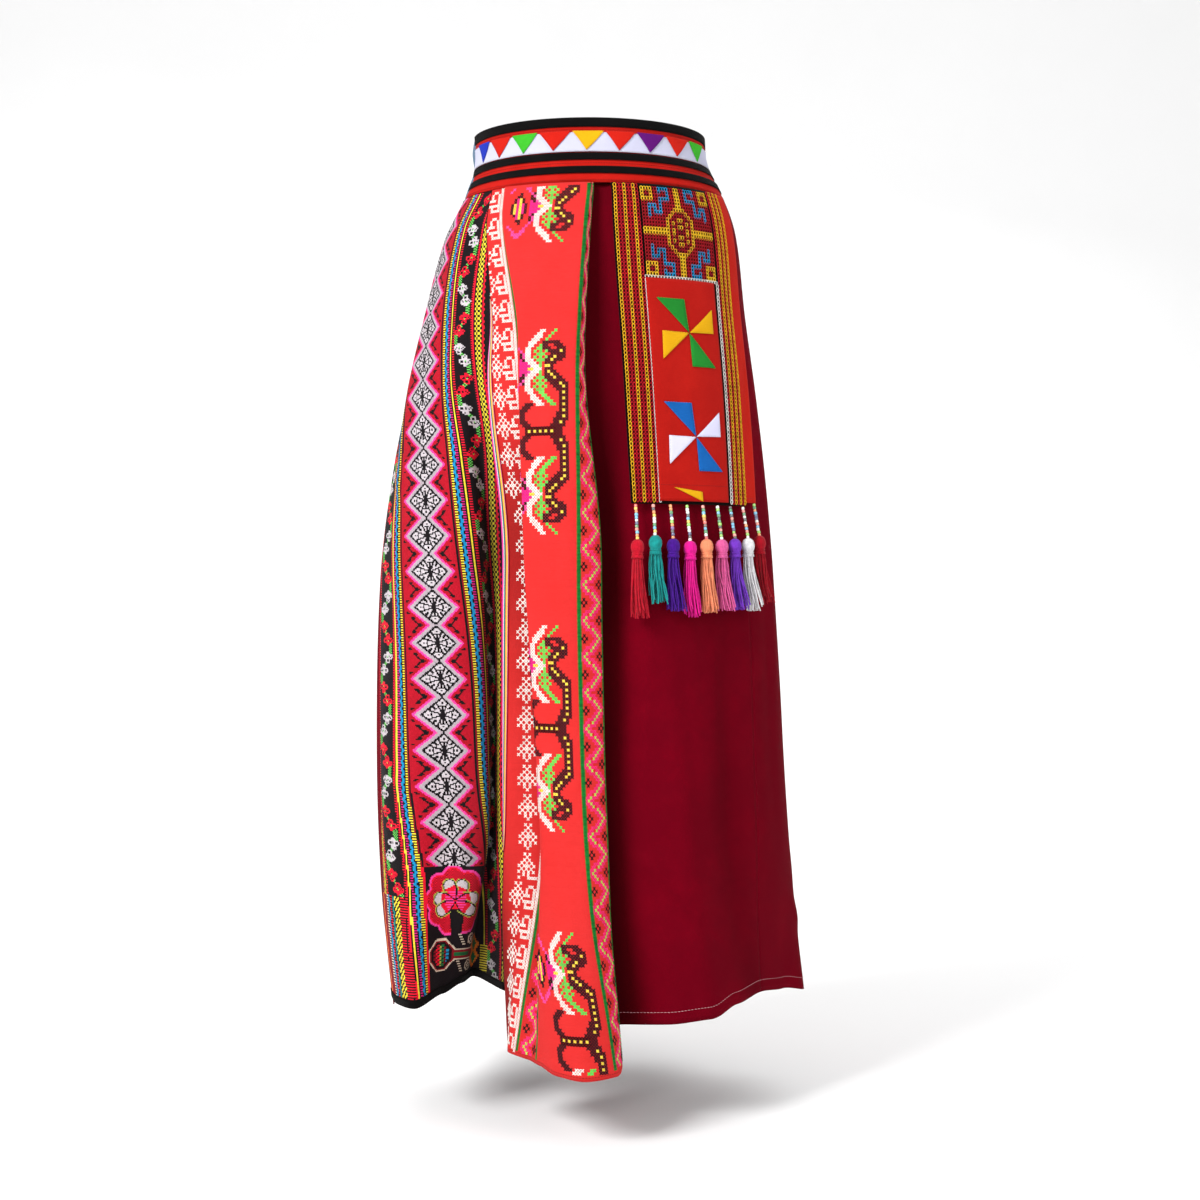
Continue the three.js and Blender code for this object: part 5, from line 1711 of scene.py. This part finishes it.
def yarn_finish(name, colour):
    """Soft spun yarn with a slow twist."""
    yarn = Finish(name, 0.85, sheen=0.1, specular=0.1)
    fine, broad = yarn.noise(1500.0, 2.0), yarn.noise(260.0, 2.0)
    deep = tuple(c * 0.42 for c in linear(colour))
    yarn.paint(yarn.mix((fine * 0.9 + broad * 1.1 - 0.45).limited(), deep, linear(colour)))
    yarn.roughen(fine * 0.2 + 0.72)
    yarn.bump(fine, 0.3 * MM, 0.5)
    return yarn.material


class SKIRT_OT_beads(bpy.types.Operator):
    """Strings of small glass beads under the flap."""

    bl_idname = "skirt.beads"
    bl_label = "Beads"

    def execute(self, context):
        glass = Finish("bead_glass", 0.22, specular=0.5, coat=0.3)
        colour = glass.colour_from("thread")
        glass.paint(glass.mix(glass.noise(400.0) * 0.3, colour, (1.0, 1.0, 1.0)))
        glass.roughen(glass.noise(250.0) * 0.15 + 0.16)
        bead = bead_template()
        width = context.scene.skirt_sizes.bead / MM
        for k, row in enumerate(STRINGS):
            names = row.split()
            top, foot = string_ends(k)
            n = len(names)
            s = (np.arange(n) + 0.5) / n
            rng = np.random.default_rng(60 + k)
            p = top + (foot - top) * s[:, None] + rng.normal(scale=0.12, size=(n, 3)) * (1, 1, 0)
            down = (foot - top) / np.linalg.norm(foot - top)
            up = np.tile(-down, (n, 1))
            right = np.tile(np.array([1.0, 0, 0]) - down * down[0], (n, 1))
            right /= np.linalg.norm(right, axis=1, keepdims=True)
            front = np.cross(right, up)
            pitch = np.linalg.norm(foot - top) / n
            size = np.tile((width, width, pitch / 0.84), (n, 1)) * (1 + 0.05 * rng.normal(size=(n, 1)))
            colours = palette(names, BEAD_COLOURS)
            # The bead's own upright axis is its third one
            piece = repeated(f"beads_{k + 1}", bead, p, right, -front, up, size, colours, glass.material)
            joined_to(piece)
            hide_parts(f"bead_string_{k + 1}")
        bpy.data.objects.remove(bead)
        return {"FINISHED"}


# Where the strings begin: under the flap, and the last one under the shorter side strip
STRING_TOP, LAST_STRING_TOP = -356.6, -352.6
# Radius and height of a tassel's wound head and of its neck tie (mm)
TASSEL_HEAD = [
    (0.2, 0.6), (2.6, 0.2), (4.8, -1.6), (6.1, -4.6), (6.4, -7.6), (5.9, -10.4), (4.9, -12.6), (4.6, -13.8),
    (5.6, -15.6), (5.9, -18.0), (0.2, -18.4),
]
TASSEL_TIE = [(4.6, -12.6), (5.4, -12.9), (5.7, -13.6), (5.4, -14.3), (4.6, -14.6)]
GOLDEN_ANGLE = 2.399963


def string_ends(k):
    """Top and foot of a bead string."""
    a, length, _, _ = TASSELS[k]
    top_z = STRING_TOP if k < len(TASSELS) - 1 else LAST_STRING_TOP
    top, foot = (FLAP.point(a, FLAP_BOTTOM, lift).copy() for lift in (1.0, 8.0))
    top[2], foot[2] = top_z, top_z - length
    return top, foot


class SKIRT_OT_tassels(bpy.types.Operator):
    """Nine yarn tassels: a wound head, a neck tie and loose yarns."""

    bl_idname = "skirt.tassels"
    bl_label = "Tassels"

    def execute(self, context):
        count = context.scene.skirt_sizes.yarns
        for k, (_, _, drop, colour) in enumerate(TASSELS):
            material = finish(f"yarn_{k + 1}", yarn_finish, colour)
            _, foot = string_ends(k)
            lean = 2 + 0.5 * (k + 1)
            rng = np.random.default_rng(100 + k)
            points, faces = lathe(TASSEL_HEAD, 56, 0.045, 14, foot)
            start = len(points)
            more, more_faces = lathe(TASSEL_TIE, 28, 0.0, 0, foot)
            faces += [tuple(start + q for q in f) for f in more_faces]
            piece = put_object(f"tassel_{k + 1}_head", points + more, faces)
            dress(piece, material, ())
            lines, links = [], []
            steps = 9
            for n in range(count):
                ring_share = math.sqrt((n + 0.5) / count)
                turn = n * GOLDEN_ANGLE + k
                c, s = math.cos(turn), math.sin(turn)
                reach = drop - 15 - 9 * rng.random() ** 2
                sway = rng.normal(scale=1.3, size=2)
                bend = rng.normal(scale=0.8, size=2)
                for j in range(steps):
                    d = j / (steps - 1)
                    r = ring_share * (4.4 + 4.6 * d ** 0.9)
                    flow = 0.6 * math.sin(3.1 * d + n)
                    lines.append((
                        foot[0] + r * c + lean * d * d + sway[0] * d * d + bend[0] * math.sin(6 * d) + flow * 0.5,
                        foot[1] + r * s * 0.9 + sway[1] * d * d + bend[1] * math.sin(5 * d),
                        foot[2] - 13.5 - reach * d,
                    ))
                    if j:
                        links.append((len(lines) - 2, len(lines) - 1))
            mesh = bpy.data.meshes.new(f"tassel_{k + 1}_yarns")
            mesh.from_pydata((np.array(lines) * MM).tolist(), links, [])
            yarns = bpy.data.objects.new(f"tassel_{k + 1}_yarns", mesh)
            bpy.context.scene.collection.objects.link(yarns)
            apply_tree(yarns, "Yarn", yarn_tree, Radius=0.7 * MM, Finish=material)
            yarns.data.polygons.foreach_set("use_smooth", [True] * len(yarns.data.polygons))
            joined_to(yarns)
            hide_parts(f"tassel_{k + 1}")
        return {"FINISHED"}


class SKIRT_OT_stage(bpy.types.Operator):
    """Pale floor, soft light and the camera."""

    bl_idname = "skirt.stage"
    bl_label = "Stage"

    def execute(self, context):
        scene = context.scene
        paper = Finish("pale_floor", 0.9, specular=0.1)
        paper.paint(paper.mix(paper.noise(3.0), (0.93, 0.93, 0.93), (0.96, 0.96, 0.96)))
        # A floor that turns up into a wall (mm)
        ground, side, depth, rise, radius = -972, 7000, 3200, 5200, 1600
        profile = [(-5200, 0.0), (depth - radius, 0.0)]
        profile += [
            (depth - radius + radius * math.sin(a), radius * (1 - math.cos(a)))
            for a in np.linspace(0, np.pi / 2, 14)[1:]
        ]
        profile += [(depth, rise)]
        points = [(x, y, ground + z) for y, z in profile for x in (-side, side)]
        faces = [(2 * k, 2 * k + 1, 2 * k + 3, 2 * k + 2) for k in range(len(profile) - 1)]
        floor = put_object("floor", points, faces)
        floor.data.materials.append(paper.material)
        # Name, place, what it points to, power in watts and size in metres
        lights = (
            ("key", (-1.7, -2.0, 1.3), (0, 0, -0.3), 100, 1.1),
            ("fill", (2.4, -1.9, 1.0), (0, 0, -0.35), 30, 1.8),
            ("rear", (0.4, 2.0, 1.8), (0, 0, -0.4), 40, 2.2),
        )
        for name, at, to, power, size in lights:
            lamp = bpy.data.lights.new(name, "AREA")
            lamp.energy, lamp.size = power, size
            light = bpy.data.objects.new(name, lamp)
            light.location = at
            light.rotation_euler = (Vector(to) - Vector(at)).to_track_quat("-Z", "Y").to_euler()
            scene.collection.objects.link(light)
        world = bpy.data.worlds.new("studio")
        world.use_nodes = True
        world.node_tree.nodes["Background"].inputs["Color"].default_value = (1, 1, 1, 1)
        world.node_tree.nodes["Background"].inputs["Strength"].default_value = 0.56
        scene.world = world
        lens = bpy.data.cameras.new("view")
        lens.lens, lens.sensor_width = 58.68, 36
        camera = bpy.data.objects.new("view", lens)
        camera.location = (0.0105, -2.06, -0.45)
        camera.rotation_euler = (math.radians(90), 0, 0)
        scene.collection.objects.link(camera)
        scene.camera = camera
        scene.view_settings.view_transform = "Standard"
        return {"FINISHED"}


PIECES = (
    SKIRT_OT_panels, SKIRT_OT_left_stitches, SKIRT_OT_ribbon, SKIRT_OT_front_stitches, SKIRT_OT_waistband,
    SKIRT_OT_flap, SKIRT_OT_flap_stitches, SKIRT_OT_patches, SKIRT_OT_seams, SKIRT_OT_beads, SKIRT_OT_tassels,
    SKIRT_OT_stage,
)


class SKIRT_PT_panel(bpy.types.Panel):
    """Sizes, colours and pieces of the skirt."""

    bl_label = "Wrap Skirt"
    bl_idname = "SKIRT_PT_panel"
    bl_space_type = "VIEW_3D"
    bl_region_type = "UI"
    bl_category = "Skirt"

    def draw(self, context):
        for group in (context.scene.skirt_sizes, context.scene.skirt_colours):
            for name in group.__annotations__:
                self.layout.prop(group, name)
        for piece in PIECES:
            self.layout.operator(piece.bl_idname)


CLASSES = (SkirtSizes, SkirtColours, *PIECES, SKIRT_PT_panel)


def register():
    for kind in CLASSES:
        bpy.utils.register_class(kind)
    bpy.types.Scene.skirt_sizes = PointerProperty(type=SkirtSizes)
    bpy.types.Scene.skirt_colours = PointerProperty(type=SkirtColours)


def unregister():
    del bpy.types.Scene.skirt_colours
    del bpy.types.Scene.skirt_sizes
    for kind in reversed(CLASSES):
        bpy.utils.unregister_class(kind)


def main():
    register()
    for piece in PIECES:
        group, name = piece.bl_idname.split(".")
        getattr(getattr(bpy.ops, group), name)()


if __name__ == "__main__":
    main()
